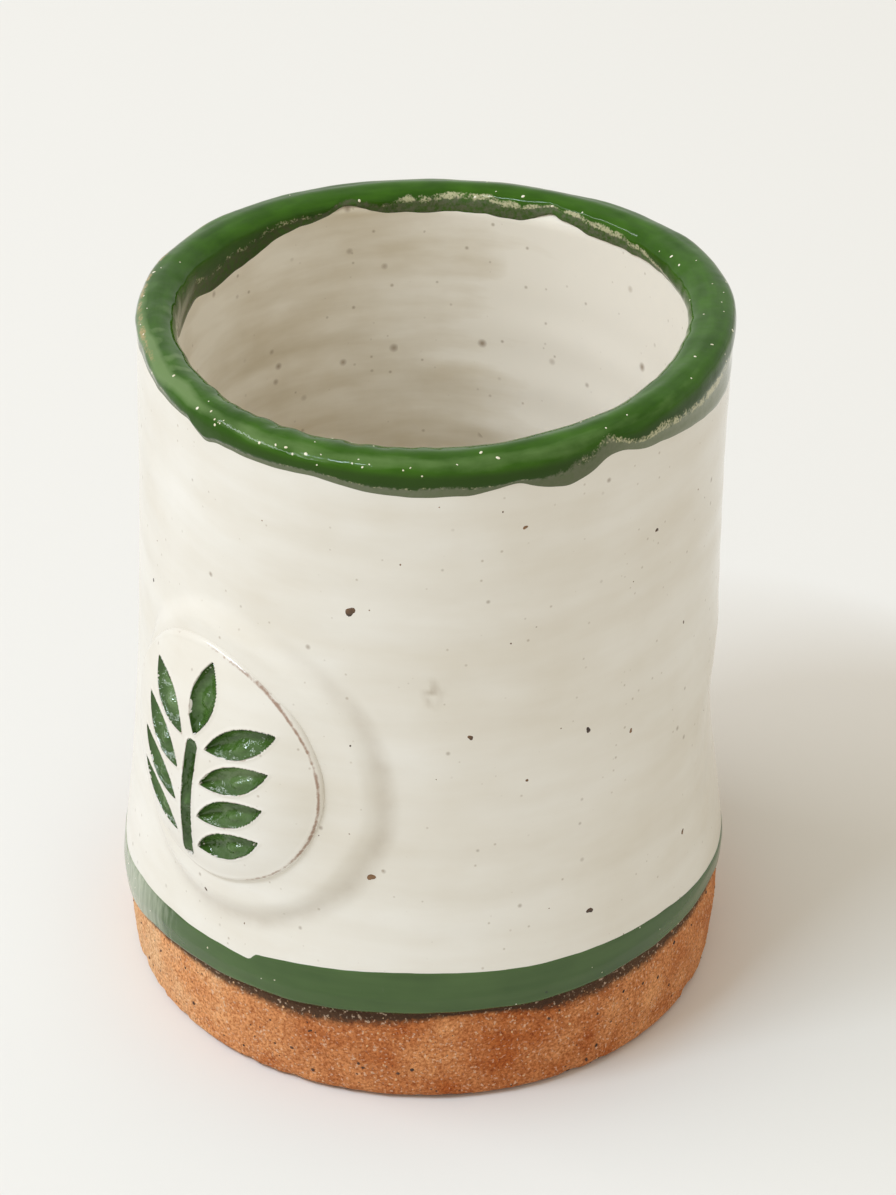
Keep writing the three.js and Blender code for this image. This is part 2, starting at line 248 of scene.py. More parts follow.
def section(path, offset):
    """Radius and height at a path length from the crest of the lip, at an offset from the clay.

    The path is positive down the outside and negative down the inside and over the floor.
    """
    inward = -path
    lip_angle = np.pi / 2 - np.clip(path / LIP_ROUNDING, -np.pi / 2, np.pi / 2)
    fillet_angle = -np.clip((inward - INSIDE_WALL) / FLOOR_FILLET, 0, np.pi / 2)
    wall_z = LIP_START - np.clip(np.abs(path) - LIP_QUARTER, 0, None)
    inside_z = np.maximum(wall_z, FILLET_TOP)

    lip_radius = wall_radius(LIP_START) - LIP_ROUNDING + (LIP_ROUNDING + offset) * np.cos(lip_angle)
    lip_z = LIP_START + (LIP_ROUNDING + offset) * np.sin(lip_angle)
    fillet_radius = FILLET_CENTRE + (FLOOR_FILLET - offset) * np.cos(fillet_angle)
    fillet_z = FILLET_TOP + (FLOOR_FILLET - offset) * np.sin(fillet_angle)
    floor_radius = np.clip(INSIDE_FLOOR - inward, 0, None)
    floor_z = FLOOR_THICKNESS + offset

    zones = [path > LIP_QUARTER, inward <= LIP_QUARTER, inward <= INSIDE_WALL, inward <= INSIDE_FILLET]
    radii = [wall_radius(wall_z) + offset, lip_radius, inner_radius(inside_z) - offset, fillet_radius]
    radius = np.select(zones, radii, floor_radius)
    z = np.select(zones, [wall_z, lip_z, inside_z, fillet_z], floor_z)
    return radius, z


print("wall radius at the foot, waist and lip:", [round(float(wall_radius(z)), 2) for z in (0, 60, 95)])

# %% [markdown]
# ## The potter's hands
# No thrown mug stays quite round. This one is a little oval, leans a little, dips along its rim,
# has a thumb dent low on one side and swells under the disc. Instead of sculpting each layer, every
# point of every layer passes through this one function, the same one that the CAD model uses.

# %% Press the round form into its hand-made shape
OVAL = 1.7
OVAL_DIRECTION = math.radians(-40)
LEAN = 1.7
LEAN_DIRECTION = math.radians(42)
RIM_LOBE = 0.8
RIM_LOBE_DIRECTION = math.radians(-57)
RIM_SWAY = 0.8
DENT_DEPTH = 1.2
DENT_REACH = 16
DENT_HEIGHT = 36
DENT_DIRECTION = math.radians(33)
RIM_WAVE = 0.9
RIM_WAVE_REACH = 6
RIM_WAVE_DIRECTION = math.radians(-76)
RIM_DROP = 4.2
RIM_EDGE = CLAY_HEIGHT - RIM_DROP
BAND_WAVE = 1.6
BAND_LOW = 12.6
BAND_TOP = 19.1
BAND_MIDDLE = (BAND_LOW + BAND_TOP) / 2
DISC_HEIGHT = 46.8
DISC_RADIUS = 16.65
SWELL_DEPTH = 0.8
SWELL_MARGIN = 10
SWELL_REACH = DISC_RADIUS + SWELL_MARGIN
FRONT = math.radians(-90)


def bump(distance):
    """A smooth bump: 1 at distance 0, falling to 0 at distance 1."""
    return (1 - np.minimum(distance * distance, 1)) ** 2


def ease(share):
    """A smooth step from 0 to 1."""
    share = np.clip(share, 0, 1)
    return share * share * (3 - 2 * share)


def bead(distance, width):
    """Height of a rounded edge: 0 at the edge, 1 from this width on."""
    return np.sqrt(1 - (1 - np.clip(distance / width, 0, 1)) ** 2)


def turn_between(start, end):
    """The smallest turn from one direction to another."""
    return np.arctan2(np.sin(end - start), np.cos(end - start))


def press_by_hand(radius, angle, z):
    """Points of the hand-pressed form, in metres, for places on the round form in millimetres."""
    rise = z / CLAY_HEIGHT
    wall = wall_radius(z)
    outer_share = np.clip((radius - inner_radius(z)) / wall_thickness(z), 0, 1)
    from_dent = np.hypot(turn_between(DENT_DIRECTION, angle) * wall, z - DENT_HEIGHT)
    from_disc = np.hypot(turn_between(FRONT, angle) * wall, z - DISC_HEIGHT)
    dent = DENT_DEPTH * bump(from_dent / DENT_REACH)
    swell = SWELL_DEPTH * bump(from_disc / SWELL_REACH)
    oval = OVAL * np.cos(2 * (angle - OVAL_DIRECTION))
    lobe = RIM_LOBE * rise**2 * np.cos(3 * (angle - RIM_LOBE_DIRECTION))
    pressed = radius + (oval + lobe - dent) * radius / wall + swell * outer_share

    from_axis = np.minimum(radius / wall, 1)
    sway = RIM_SWAY * rise**2 * from_axis * np.cos(angle - LEAN_DIRECTION)
    band_shift = (BAND_WAVE * outer_share * bump((z - BAND_MIDDLE) / BAND_MIDDLE)
                  * np.cos(2 * (angle - OVAL_DIRECTION)))
    rim_shift = (RIM_WAVE * from_axis * bump((z - RIM_EDGE) / RIM_WAVE_REACH)
                 * np.cos(3 * (angle - RIM_WAVE_DIRECTION)))
    return MM * np.stack([
        pressed * np.cos(angle) + LEAN * rise * np.cos(LEAN_DIRECTION),
        pressed * np.sin(angle) + LEAN * rise * np.sin(LEAN_DIRECTION),
        z + sway + band_shift + rim_shift,
    ], axis=-1)


lip_ring = press_by_hand(wall_radius(LIP_START), np.radians(np.arange(360)), LIP_START + np.zeros(360))
print("pressed lip across x and y:", (np.ptp(lip_ring, axis=0)[:2] / MM).round(1), "mm")

# %% [markdown]
# ## Meshes from sections
# A layer is a ring of closed sections: the outer skin, and a hidden back that is sunk a little into
# what carries it. Joining each section to the next gives a closed mesh. Sections that start and end
# on the axis meet in a pole, which merging close points turns into a clean fan.

# %% Helpers for meshes and noise
COLUMNS = 640
BACK_STEP = 9
SOFTENING_STEPS = 9
MERGE_DISTANCE = 0.002 * MM
angles = np.radians(np.arange(COLUMNS) * 360 / COLUMNS - 180)[:, None]
degrees = np.degrees(angles)


def lumps(points, size, seed):
    """Smooth noise from -1 to 1 at points in metres, with lumps about that many millimetres wide."""
    shift = Vector((seed * 17.31, seed * 5.17, seed * 31.73))
    flat = points.reshape(-1, 3) / (size * MM)
    return np.array([noise.noise(Vector(place) + shift) for place in flat]).reshape(points.shape[:-1])


def make_mesh(name, points, faces, attributes, material):
    """A closed mesh with outward normals, smooth shading and named point attributes."""
    mesh = bpy.data.meshes.new(name)
    mesh.from_pydata(points.reshape(-1, 3).tolist(), [], faces)
    for attribute, values in attributes.items():
        kind, field = ("FLOAT", "value") if values.ndim < points.ndim else ("FLOAT_VECTOR", "vector")
        layer = mesh.attributes.new(attribute, kind, "POINT")
        layer.data.foreach_set(field, np.ascontiguousarray(values, dtype=np.float32).ravel())
    work = bmesh.new()
    work.from_mesh(mesh)
    bmesh.ops.remove_doubles(work, verts=work.verts, dist=MERGE_DISTANCE)
    loose = [edge for edge in work.edges if not edge.link_faces]
    bmesh.ops.delete(work, geom=loose, context="EDGES")
    bmesh.ops.recalc_face_normals(work, faces=work.faces)
    for face in work.faces:
        face.smooth = True
    work.to_mesh(mesh)
    open_edges = sum(1 for edge in work.edges if len(edge.link_faces) != 2)
    work.free()
    mesh.materials.append(material)
    print(f"{name}: {len(mesh.polygons)} faces, {open_edges} open edges")
    return mesh


def add_piece(name, mesh, slot, *nodes):
    """Put a finished mesh in the scene, on the mug's one body, in place of its CAD nodes."""
    piece = bpy.data.objects.new(name, mesh)
    bpy.context.collection.objects.link(piece)
    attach(piece, "root")
    if nodes:
        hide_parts(*nodes)
    return piece


def ring_faces(columns, length, closed):
    """Quads between neighbouring sections of a ring, from closed or open sections."""
    places = np.arange(length if closed else length - 1)
    column, place = np.meshgrid(np.arange(columns), places, indexing="ij")
    after = (column + 1) % columns
    beyond = (place + 1) % length
    corners = [column * length + place, after * length + place,
               after * length + beyond, column * length + beyond]
    return np.stack(corners, axis=-1).reshape(-1, 4).tolist()


def polar(radius, z):
    """Radius, angle and height, with the angles of the columns."""
    return radius, np.broadcast_to(angles, radius.shape), z


def back_rows(rows, step):
    """Every few rows of a skin, from last to first, for its hidden back."""
    return np.unique(np.append(np.arange(0, rows, step), rows - 1))[::-1]


def coat_mesh(name, path, offset, back, attributes, material):
    """A coat over the clay: its skin at an offset for each angle and path, and a sunk back."""
    skin = press_by_hand(*polar(*section(path, offset)))
    picks = back_rows(path.shape[1], BACK_STEP)
    hidden = press_by_hand(*polar(*section(path[:, picks], np.full((COLUMNS, len(picks)), back))))
    points = np.concatenate([skin, hidden], axis=1)
    filled = {"shown": np.concatenate([np.ones(path.shape), np.zeros(hidden.shape[:2])], axis=1)}
    for attribute, values in attributes.items():
        values = np.broadcast_to(values, path.shape + values.shape[2:])
        filled[attribute] = np.concatenate([values, values[:, picks]], axis=1)
    return make_mesh(name, points, ring_faces(COLUMNS, points.shape[1], True), filled, material)


def hand_line(places, softness):
    """A line round the mug through (degrees, height) places, softened as a hand-drawn line is."""
    turns, heights = np.array(places, dtype=float).T
    steps = np.linspace(-softness, softness, SOFTENING_STEPS)
    return np.mean([np.interp(degrees + step, turns, heights, period=360) for step in steps], axis=0)


def path_at(z):
    """Path length down the outside to a height on the wall or on the lip's outer round."""
    on_lip = LIP_ROUNDING * np.arccos(np.clip((z - LIP_START) / LIP_ROUNDING, 0, 1))
    return np.where(z < LIP_START, LIP_QUARTER + LIP_START - z, on_lip)


# %% [markdown]
# ## Fired red clay
# The body is red earthenware clay with grog: ground fired clay that a potter mixes in so that the
# pot dries evenly. Bare and fired, it is a matt orange brown with darker grit and pale flecks, and
# the kiln leaves a sooty line where the glaze ends. The side that faces the lamps is painted paler,
# as painted light. The grit is fine noise. The sooty line and the painted light are point
# attributes, because one follows the painted edge and the other the side of the mug.

# %% Bare terracotta with grog
terracotta, add = new_material("fired_terracotta_with_grog")
place = add("ShaderNodeTexCoord").outputs["Object"]
soot, fired = [
    add("ShaderNodeAttribute", attribute_name=attribute).outputs["Fac"] for attribute in ("soot", "fired")]
patches, grit, smoke, flecks = [
    add("ShaderNodeTexNoise", {"Vector": place, "Scale": per(size), "Detail": detail, "Roughness": rough})
    for size, detail, rough in ((7, 5, 0.6), (0.42, 5, 0.7), (0.8, 5, 0.75), (0.5, 2, 0.5))]
# Painted light: this attribute makes the bare clay paler on the side that faces the lamps
paleness = add("ShaderNodeMath", {0: patches, 1: fired}, operation="ADD")
colour = lay_over(add, "#bd672c", "#f3b076", paleness, 0.3, 0.7)
colour = lay_over(add, colour, "#fbd0a0", paleness, 0.7, 1)
grit_shade = lay_over(add, "#a9825c", "#ffffff", grit, 0.34, 0.62)
colour = add("ShaderNodeMix", {0: 1.0, 6: colour, 7: grit_shade}, data_type="RGBA", blend_type="MULTIPLY")
sooty = add("ShaderNodeMath", {0: soot, 1: smoke}, operation="ADD")
colour = lay_over(add, colour, "#33281f", sooty, 0.74, 1.22, 0.94)
colour = lay_over(add, colour, "#ecd2b8", flecks, 0.6, 0.7, 0.55)
grain = add("ShaderNodeBump", {"Height": grit, "Strength": 0.9, "Distance": 0.3 * MM})
clay = add("ShaderNodeBsdfPrincipled", {
    "Base Color": colour, "Normal": grain, "Roughness": 0.92, "Specular IOR Level": 0.25,
    "Sheen Weight": 0.2, "Sheen Roughness": 0.5, "Sheen Tint": "#e8a870"})
add("ShaderNodeOutputMaterial", {"Surface": clay})
print(terracotta.name, "is made of", len(terracotta.node_tree.nodes), "nodes")

# %% [markdown]
# ## The edges of the glazes
# The green band and the green lip are brushed on by hand, so their edges wander, drip and show where
# the brush began. Each edge is a line of a few heights round the mug. The band's lower edge also
# tells the clay where the soot goes.

# %% Hand-painted lines, as (degrees, height)
BAND_TOP_LINE = [
    (-178, 18.4), (-150, 17.8), (-128, 17.5), (-115, 18.8), (-101, 19.1), (-86, 18.6), (-79.4, 18.1),
    (-78.4, 19.2), (-70, 19.7), (-50, 20.3), (-30, 19.7), (0, 20.3), (14, 19.9), (28, 19.2), (60, 18.8),
    (100, 19.6), (140, 19.2)]
BAND_LOW_LINE = [
    (-170, 12.2), (-140, 11.2), (-122, 11.5), (-107, 13.4), (-94, 13.8), (-65, 13.0), (-52, 13.4),
    (-26, 13.4), (-12, 14.4), (6, 15.8), (20, 16.6), (40, 15.2), (80, 12.8), (120, 13.2), (160, 12.4)]
band_top = hand_line(BAND_TOP_LINE, 0.5)
band_low = hand_line(BAND_LOW_LINE, 4)
ring = press_by_hand(*polar(wall_radius(band_top), band_top))
band_top = band_top + 0.07 * lumps(ring, 2.2, 1)
band_low = band_low + 0.16 * lumps(ring, 3.5, 2)
print("band runs from", round(float(band_low.min()), 1), "to", round(float(band_top.max()), 1), "mm")

# %% [markdown]
# ## The clay body
# Only the foot and the underside of the clay show, but the body is made whole, from the middle of the
# base round to the middle of the floor. Rows lie close together at the foot, where the grain, the
# chips along the edge and the wire-cut base are real bumps in the mesh.

# %% Rows of the clay body
BASE_ROWS = 33
FOOT_ROWS = 7
FINE_ROW = 0.42
FINE_TOP = 17
HIDDEN_ROWS = 14

base_edge = float(wall_radius(FOOT_ROUNDING)) - FOOT_ROUNDING
base_rows = np.linspace(0, base_edge, BASE_ROWS, endpoint=False)
foot_angles = np.linspace(-np.pi / 2, 0, FOOT_ROWS)
foot_radii = base_edge + FOOT_ROUNDING * np.cos(foot_angles)
foot_heights = FOOT_ROUNDING + FOOT_ROUNDING * np.sin(foot_angles)
wall_rows = np.concatenate([
    np.arange(FOOT_ROUNDING, FINE_TOP, FINE_ROW)[1:], np.linspace(FINE_TOP + 1, LIP_START, HIDDEN_ROWS)])
inside_stops = ((-LIP_QUARTER, LIP_QUARTER, 12), (LIP_QUARTER, INSIDE_WALL, 14),
                (INSIDE_WALL, INSIDE_FILLET, 8), (INSIDE_FILLET, INSIDE_FLOOR, 8))
inside_path = -np.concatenate([np.linspace(*stops)[1:] for stops in inside_stops])
inside_radii, inside_heights = section(inside_path, np.zeros(inside_path.shape))
clay_radii = np.concatenate([base_rows, foot_radii, wall_radius(wall_rows), inside_radii])
clay_heights = np.concatenate([0 * base_rows, foot_heights, wall_rows, inside_heights])
print(len(clay_radii), "rows of clay from the middle of the base to the middle of the floor")

# %% Clay body
BARE_TOP = 19
BARE_GAP = 0.6
GRAIN_COARSE = 0.07
GRAIN_FINE = 0.08
CHIP_REACH = 3.2
CHIP_DEPTH = 0.6
CHIP_LIFT = 0.35
WIRE_MARKS = 0.05
SOOT_REACH = [
    (-150, 1.0), (-100, 1.8), (-85, 2.8), (-68, 4.4), (-54, 3.6), (-42, 1.2), (-32, 1.8), (-24, 4),
    (-8, 4.4), (8, 3.6), (30, 2.6), (80, 1.0), (110, 2.0), (160, 1.2)]
# Painted light: how much paler the bare clay is painted on the side that faces the lamps
CLAY_PAINTED_LIGHT_LINE = [
    (-180, 0.35), (-140, 0.48), (-116, 0.48), (-101, 0.3), (-90, 0.22), (-80, 0.06), (-68, 0),
    (-50, -0.02), (-35, -0.1), (-22, -0.14), (-10, 0.06), (2, 0.08), (14, 0), (120, 0), (150, 0.15)]

shape = (COLUMNS, len(clay_radii))
clay_radius = np.broadcast_to(clay_radii, shape)
clay_z = np.broadcast_to(clay_heights, shape)
round_points = press_by_hand(*polar(clay_radius, clay_z))

row = np.arange(shape[1])[None, :]
is_base = np.broadcast_to(row < len(base_rows), shape) * 1.0
is_outside = (1 - is_base) * (row < len(base_rows) + len(foot_radii) + len(wall_rows))
is_foot = is_outside * ease((BARE_TOP - clay_z) / 2)
coarse = lumps(round_points, 2.6, 3)
fine = lumps(round_points, 1.1, 4)
chips = np.clip(lumps(round_points, 3.4, 5) - 0.15, 0, 1) * bump(clay_z / CHIP_REACH) * is_foot
radial = is_foot * (GRAIN_COARSE * coarse + GRAIN_FINE * fine) - CHIP_DEPTH * chips
wire_cut = is_base * WIRE_MARKS * (1 + fine) * ease((base_edge - clay_radius) / 3)
clay_points = press_by_hand(*polar(clay_radius + radial, clay_z + wire_cut + CHIP_LIFT * chips))

below = band_low - clay_z
clay_mesh = make_mesh(
    "thrown_clay", clay_points, ring_faces(COLUMNS, shape[1], False),
    {"soot": is_foot * ease(1 - below / hand_line(SOOT_REACH, 3)),
     "fired": is_foot * hand_line(CLAY_PAINTED_LIGHT_LINE, 8),
     "bare": np.maximum(is_foot * (below > BARE_GAP), is_base)}, terracotta)
thrown_clay = add_piece("thrown_clay", clay_mesh, "bare_clay", "clay_body")

# %% [markdown]
# ## White glaze
# The white is a glossy tin or zircon glaze over red clay: warm, slightly grey where it is thin, with
# faint streaks left by the throwing rings and freckles of iron that burn through from the clay.
# The freckles that are too small to model are a cell pattern: each cell holds one dot, and only some
# of the cells show theirs. Three attributes say where painted light whitens the glaze, where it is
# smudged grey (painted shade in the crease round the disc, and a real scuff) and where it breaks
# over a carved edge and shows clay.

# %% White glaze
def dotted(add, colour, place, spacing, left_out, widest, soft, strength, dot_colour):
    """Lay dots over a colour: cells so far apart (mm), of which a share is left out."""
    cells = add("ShaderNodeTexVoronoi", {"Vector": place, "Scale": per(spacing)})
    chosen = add("ShaderNodeSeparateColor", {0: cells.outputs["Color"]})
    reach = add("ShaderNodeMapRange", {"Value": chosen, "From Min": left_out, "To Max": widest / spacing})
    inside = add("ShaderNodeMath", {0: reach, 1: cells.outputs["Distance"]}, operation="SUBTRACT")
    return lay_over(add, colour, dot_colour, inside, 0, soft / spacing, strength)


def white_glaze(name, thin_colour, thick_colour, streaking, freckles):
    """Glossy warm white glaze with throwing streaks, iron freckles, painted light, painted shade, a scuff and
    broken edges.
    """
    material, add = new_material(name)
    place = add("ShaderNodeTexCoord").outputs["Object"]
    poured, smudge, breaks = [
        add("ShaderNodeAttribute", attribute_name=attribute).outputs["Fac"]
        for attribute in ("poured", "smudge", "breaks")]
    clouds, rub, crumbs, peel = [
        add("ShaderNodeTexNoise", {"Vector": place, "Scale": per(size), "Detail": detail, "Roughness": rough})
        for size, detail, rough in ((24, 5, 0.5), (3, 4, 0.5), (0.8, 3, 0.7), (2.4, 2, 0.5))]
    flat = add("ShaderNodeMapping", {"Vector": place, "Scale": (0.22, 0.22, 1)})
    streaks = add("ShaderNodeTexNoise", {"Vector": flat, "Scale": per(4.5), "Detail": 4})
    depth = add("ShaderNodeMix", {0: streaking, 2: clouds, 3: streaks})
    # Painted light: this attribute whitens the glaze where the lamps fall on the inside
    depth = add("ShaderNodeMath", {0: depth, 1: poured}, operation="ADD")
    colour = lay_over(add, thin_colour, thick_colour, depth, 0.34, 0.6)
    for freckle in freckles:
        colour = dotted(add, colour, place, *freckle)
    # Painted shade in the crease round the disc, and a real scuff, lay this grey-beige over the white
    scuffed_and_shaded = add("ShaderNodeMath", {0: smudge, 1: rub}, operation="MULTIPLY")
    colour = lay_over(add, colour, "#a99c89", scuffed_and_shaded, 0, 1)
    broken = add("ShaderNodeMath", {0: breaks, 1: crumbs}, operation="ADD")
    colour = lay_over(add, colour, "#8a6248", broken, 1.15, 1.5, 0.8)
    gloss = add("ShaderNodeMapRange", {
        "Value": clouds, "From Min": 0.3, "From Max": 0.7, "To Min": 0.14, "To Max": 0.26})
    skin = add("ShaderNodeBump", {"Height": peel, "Strength": 0.12, "Distance": 0.1 * MM})
    glaze = add("ShaderNodeBsdfPrincipled", {
        "Base Color": colour, "Roughness": gloss, "Normal": skin, "IOR": 1.5})
    add("ShaderNodeOutputMaterial", {"Surface": glaze})
    return material


# Spacing, share left out, widest radius, soft edge (mm), strength and colour of each size of freckle
WALL_FRECKLES = [(1.5, 0.42, 0.28, 0.2, 0.5, "#8f7a60"), (3.2, 0.45, 0.5, 0.32, 0.6, "#7d6a55")]
LINER_FRECKLES = [(1.6, 0.5, 0.36, 0.26, 0.55, "#8a765c"), (3.4, 0.4, 0.85, 0.6, 0.7, "#7a5f42")]
wall_white = white_glaze("white_stoneware_glaze", "#dad4c7", "#e5e2da", 0.4, WALL_FRECKLES)
liner_white = white_glaze("white_liner_glaze", "#d0c4ac", "#f3eee3", 0.5, LINER_FRECKLES)
print("white glazes:", wall_white.name, "and", liner_white.name)

# %% [markdown]
# ## The wall coat
# The coat follows the throwing rings that the potter's fingers left, a low ripple that climbs as it
# goes round. Round the disc the clay was pressed and smoothed into a soft pad, so the coat rises
# there and falls away in a shallow crease. The ripple fades out under the lip and the band, where
# the next coats lie on top.

# %% Wall coat
DISC_COAT = 0.85
DISC_SIDE = DISC_RADIUS + DISC_COAT
WALL_COAT = 1.0
COAT_BACK = -0.3
EDGE_FADE = 2
UNDER_LIP = 0.5
UNDER_BAND = 0.35
LIP_REACH = 0.6
WALL_ROWS = 128
RING_TOP = 88
RING_LOW = 20.5
RING_SPACING = 6.4
RING_HEIGHT = 0.05
UNEVEN_HEIGHT = 0.14
PAD_HEIGHT = 1.15
PAD_WIDTH = 5.6
PAD_WIDER_ASIDE = 2.4
PAD_SHOULDER = 3.6
SCUFF_DIRECTION = math.radians(-47)
SCUFF_HEIGHT = 63
SCUFF_HALF_WIDE = 1.9
SCUFF_HALF_HIGH = 2.8

wall_end = path_at((band_top + band_low) / 2)
wall_path = LIP_REACH + (wall_end - LIP_REACH) * np.linspace(0, 1, WALL_ROWS)[None, :]
_, wall_z = section(wall_path, 0 * wall_path)
wall_points = press_by_hand(*polar(wall_radius(wall_z), wall_z))
free = ease((RING_TOP - wall_z) / 6) * ease((wall_z - RING_LOW) / 4)
ripple = np.sin(2 * np.pi * wall_z / RING_SPACING + angles) * (0.6 + 0.5 * lumps(wall_points, 18, 6))
across = turn_between(FRONT, angles) * float(wall_radius(DISC_HEIGHT))
up = wall_z - DISC_HEIGHT
from_disc = np.hypot(across, up) - DISC_SIDE
round_disc = np.arctan2(up, across)
pad_width = PAD_WIDTH + PAD_WIDER_ASIDE * np.cos(round_disc + 0.15) + 0.8 * lumps(wall_points, 9, 7)
pad = PAD_HEIGHT * ease((pad_width - from_disc) / PAD_SHOULDER)
relief = free * (RING_HEIGHT * ripple + UNEVEN_HEIGHT * lumps(wall_points, 17, 8)) + pad
under_lip = UNDER_LIP * ease(1 - (wall_path - LIP_REACH) / EDGE_FADE)
under_band = UNDER_BAND * ease(1 - (wall_end - wall_path) / EDGE_FADE)
wall_offset = WALL_COAT + relief - under_lip - under_band
# Painted shade: the crease round the pad is greyed on its lower right, the side away from the lamps
crease_shade = bump((from_disc - pad_width + 0.4) / 2) * ease(0.4 + 0.7 * np.cos(round_disc + 0.6))
scuff_across = turn_between(SCUFF_DIRECTION, angles) * BELLY_RADIUS
scuff = bump(np.hypot(scuff_across / SCUFF_HALF_WIDE, (wall_z - SCUFF_HEIGHT) / SCUFF_HALF_HIGH))
scuff = scuff * ease(0.5 + 1.5 * lumps(wall_points, 1.3, 24))
wall_mesh = coat_mesh(
    "wall_coat", wall_path, wall_offset, COAT_BACK, {"smudge": 0.56 * crease_shade + 1.5 * scuff}, wall_white)
wall_coat = add_piece("wall_coat", wall_mesh, "white_glaze", "wall_glaze")

# %% [markdown]
# ## The liner coat
# Inside, the rings are stronger, because the fingers that lift the wall press from within. They wind
# down to the floor as one spiral, and fade out at its middle. The inner side that faces the lamps is
# painted whiter, as painted light, and this fades out towards the floor.

# %% Liner coat
LINER_COAT = 0.85
LINER_UNDER_LIP = 0.4
LINER_RING_SPACING = 8.2
LINER_RING_HEIGHT = 0.11
LINER_UNEVEN = 0.12
# Where painted light whitens the inside: its direction, spread, strength and fade towards the floor
PAINTED_LIGHT_DIRECTION = math.radians(66)
PAINTED_LIGHT_SPREAD = math.radians(66)
PAINTED_LIGHT_STRENGTH = 0.3
PAINTED_LIGHT_FADE = 20

liner_path = -np.concatenate([
    np.linspace(LIP_REACH, INSIDE_WALL, 84), np.linspace(INSIDE_WALL, INSIDE_FILLET, 18)[1:],
    np.linspace(INSIDE_FILLET, INSIDE_FLOOR, 24)[1:]])
liner_path = liner_path[None, :].repeat(COLUMNS, axis=0)
liner_radius, liner_z = section(liner_path, 0 * liner_path)
liner_points = press_by_hand(*polar(liner_radius, liner_z))
spiral = np.sin(2 * np.pi * liner_path / LINER_RING_SPACING - angles)
spiral = spiral * (0.6 + 0.7 * lumps(liner_points, 20, 9))
free = ease((-liner_path - 9) / 14) * ease(liner_radius / 9)
relief = free * (LINER_RING_HEIGHT * spiral + LINER_UNEVEN * lumps(liner_points, 15, 10))
under_lip = LINER_UNDER_LIP * ease(1 - (-liner_path - LIP_REACH) / EDGE_FADE)
# Painted light: the inner wall that faces the lamps is painted whiter, less towards the floor
poured = PAINTED_LIGHT_STRENGTH * bump(turn_between(PAINTED_LIGHT_DIRECTION, angles) / PAINTED_LIGHT_SPREAD)
poured = poured * ease((liner_z - FLOOR_THICKNESS) / PAINTED_LIGHT_FADE)
liner_mesh = coat_mesh(
    "liner_coat", liner_path, LINER_COAT + relief - under_lip, COAT_BACK, {"poured": poured}, liner_white)
liner_coat = add_piece("liner_coat", liner_mesh, "white_glaze", "liner_glaze")

# %% [markdown]
# ## The green lip
# The lip was dipped or brushed with a thick copper green. It rounds off every edge, hangs in drips,
# lies in lumps along the front, and thins to a sheer grey fringe where it ran over the white. The
# mesh follows both ragged edges: each section runs from the outer edge over the crest to the inner
# edge. An attribute holds how thick the glaze is, from sheer to full, so the colour and the real
# thickness agree. Others say where it is thin from wear, pooled, flecked with pale grains or rusty.
# On the outer corner the paler thin colour is partly painted sheen, and along the front a row of pale
# dots is a painted highlight.

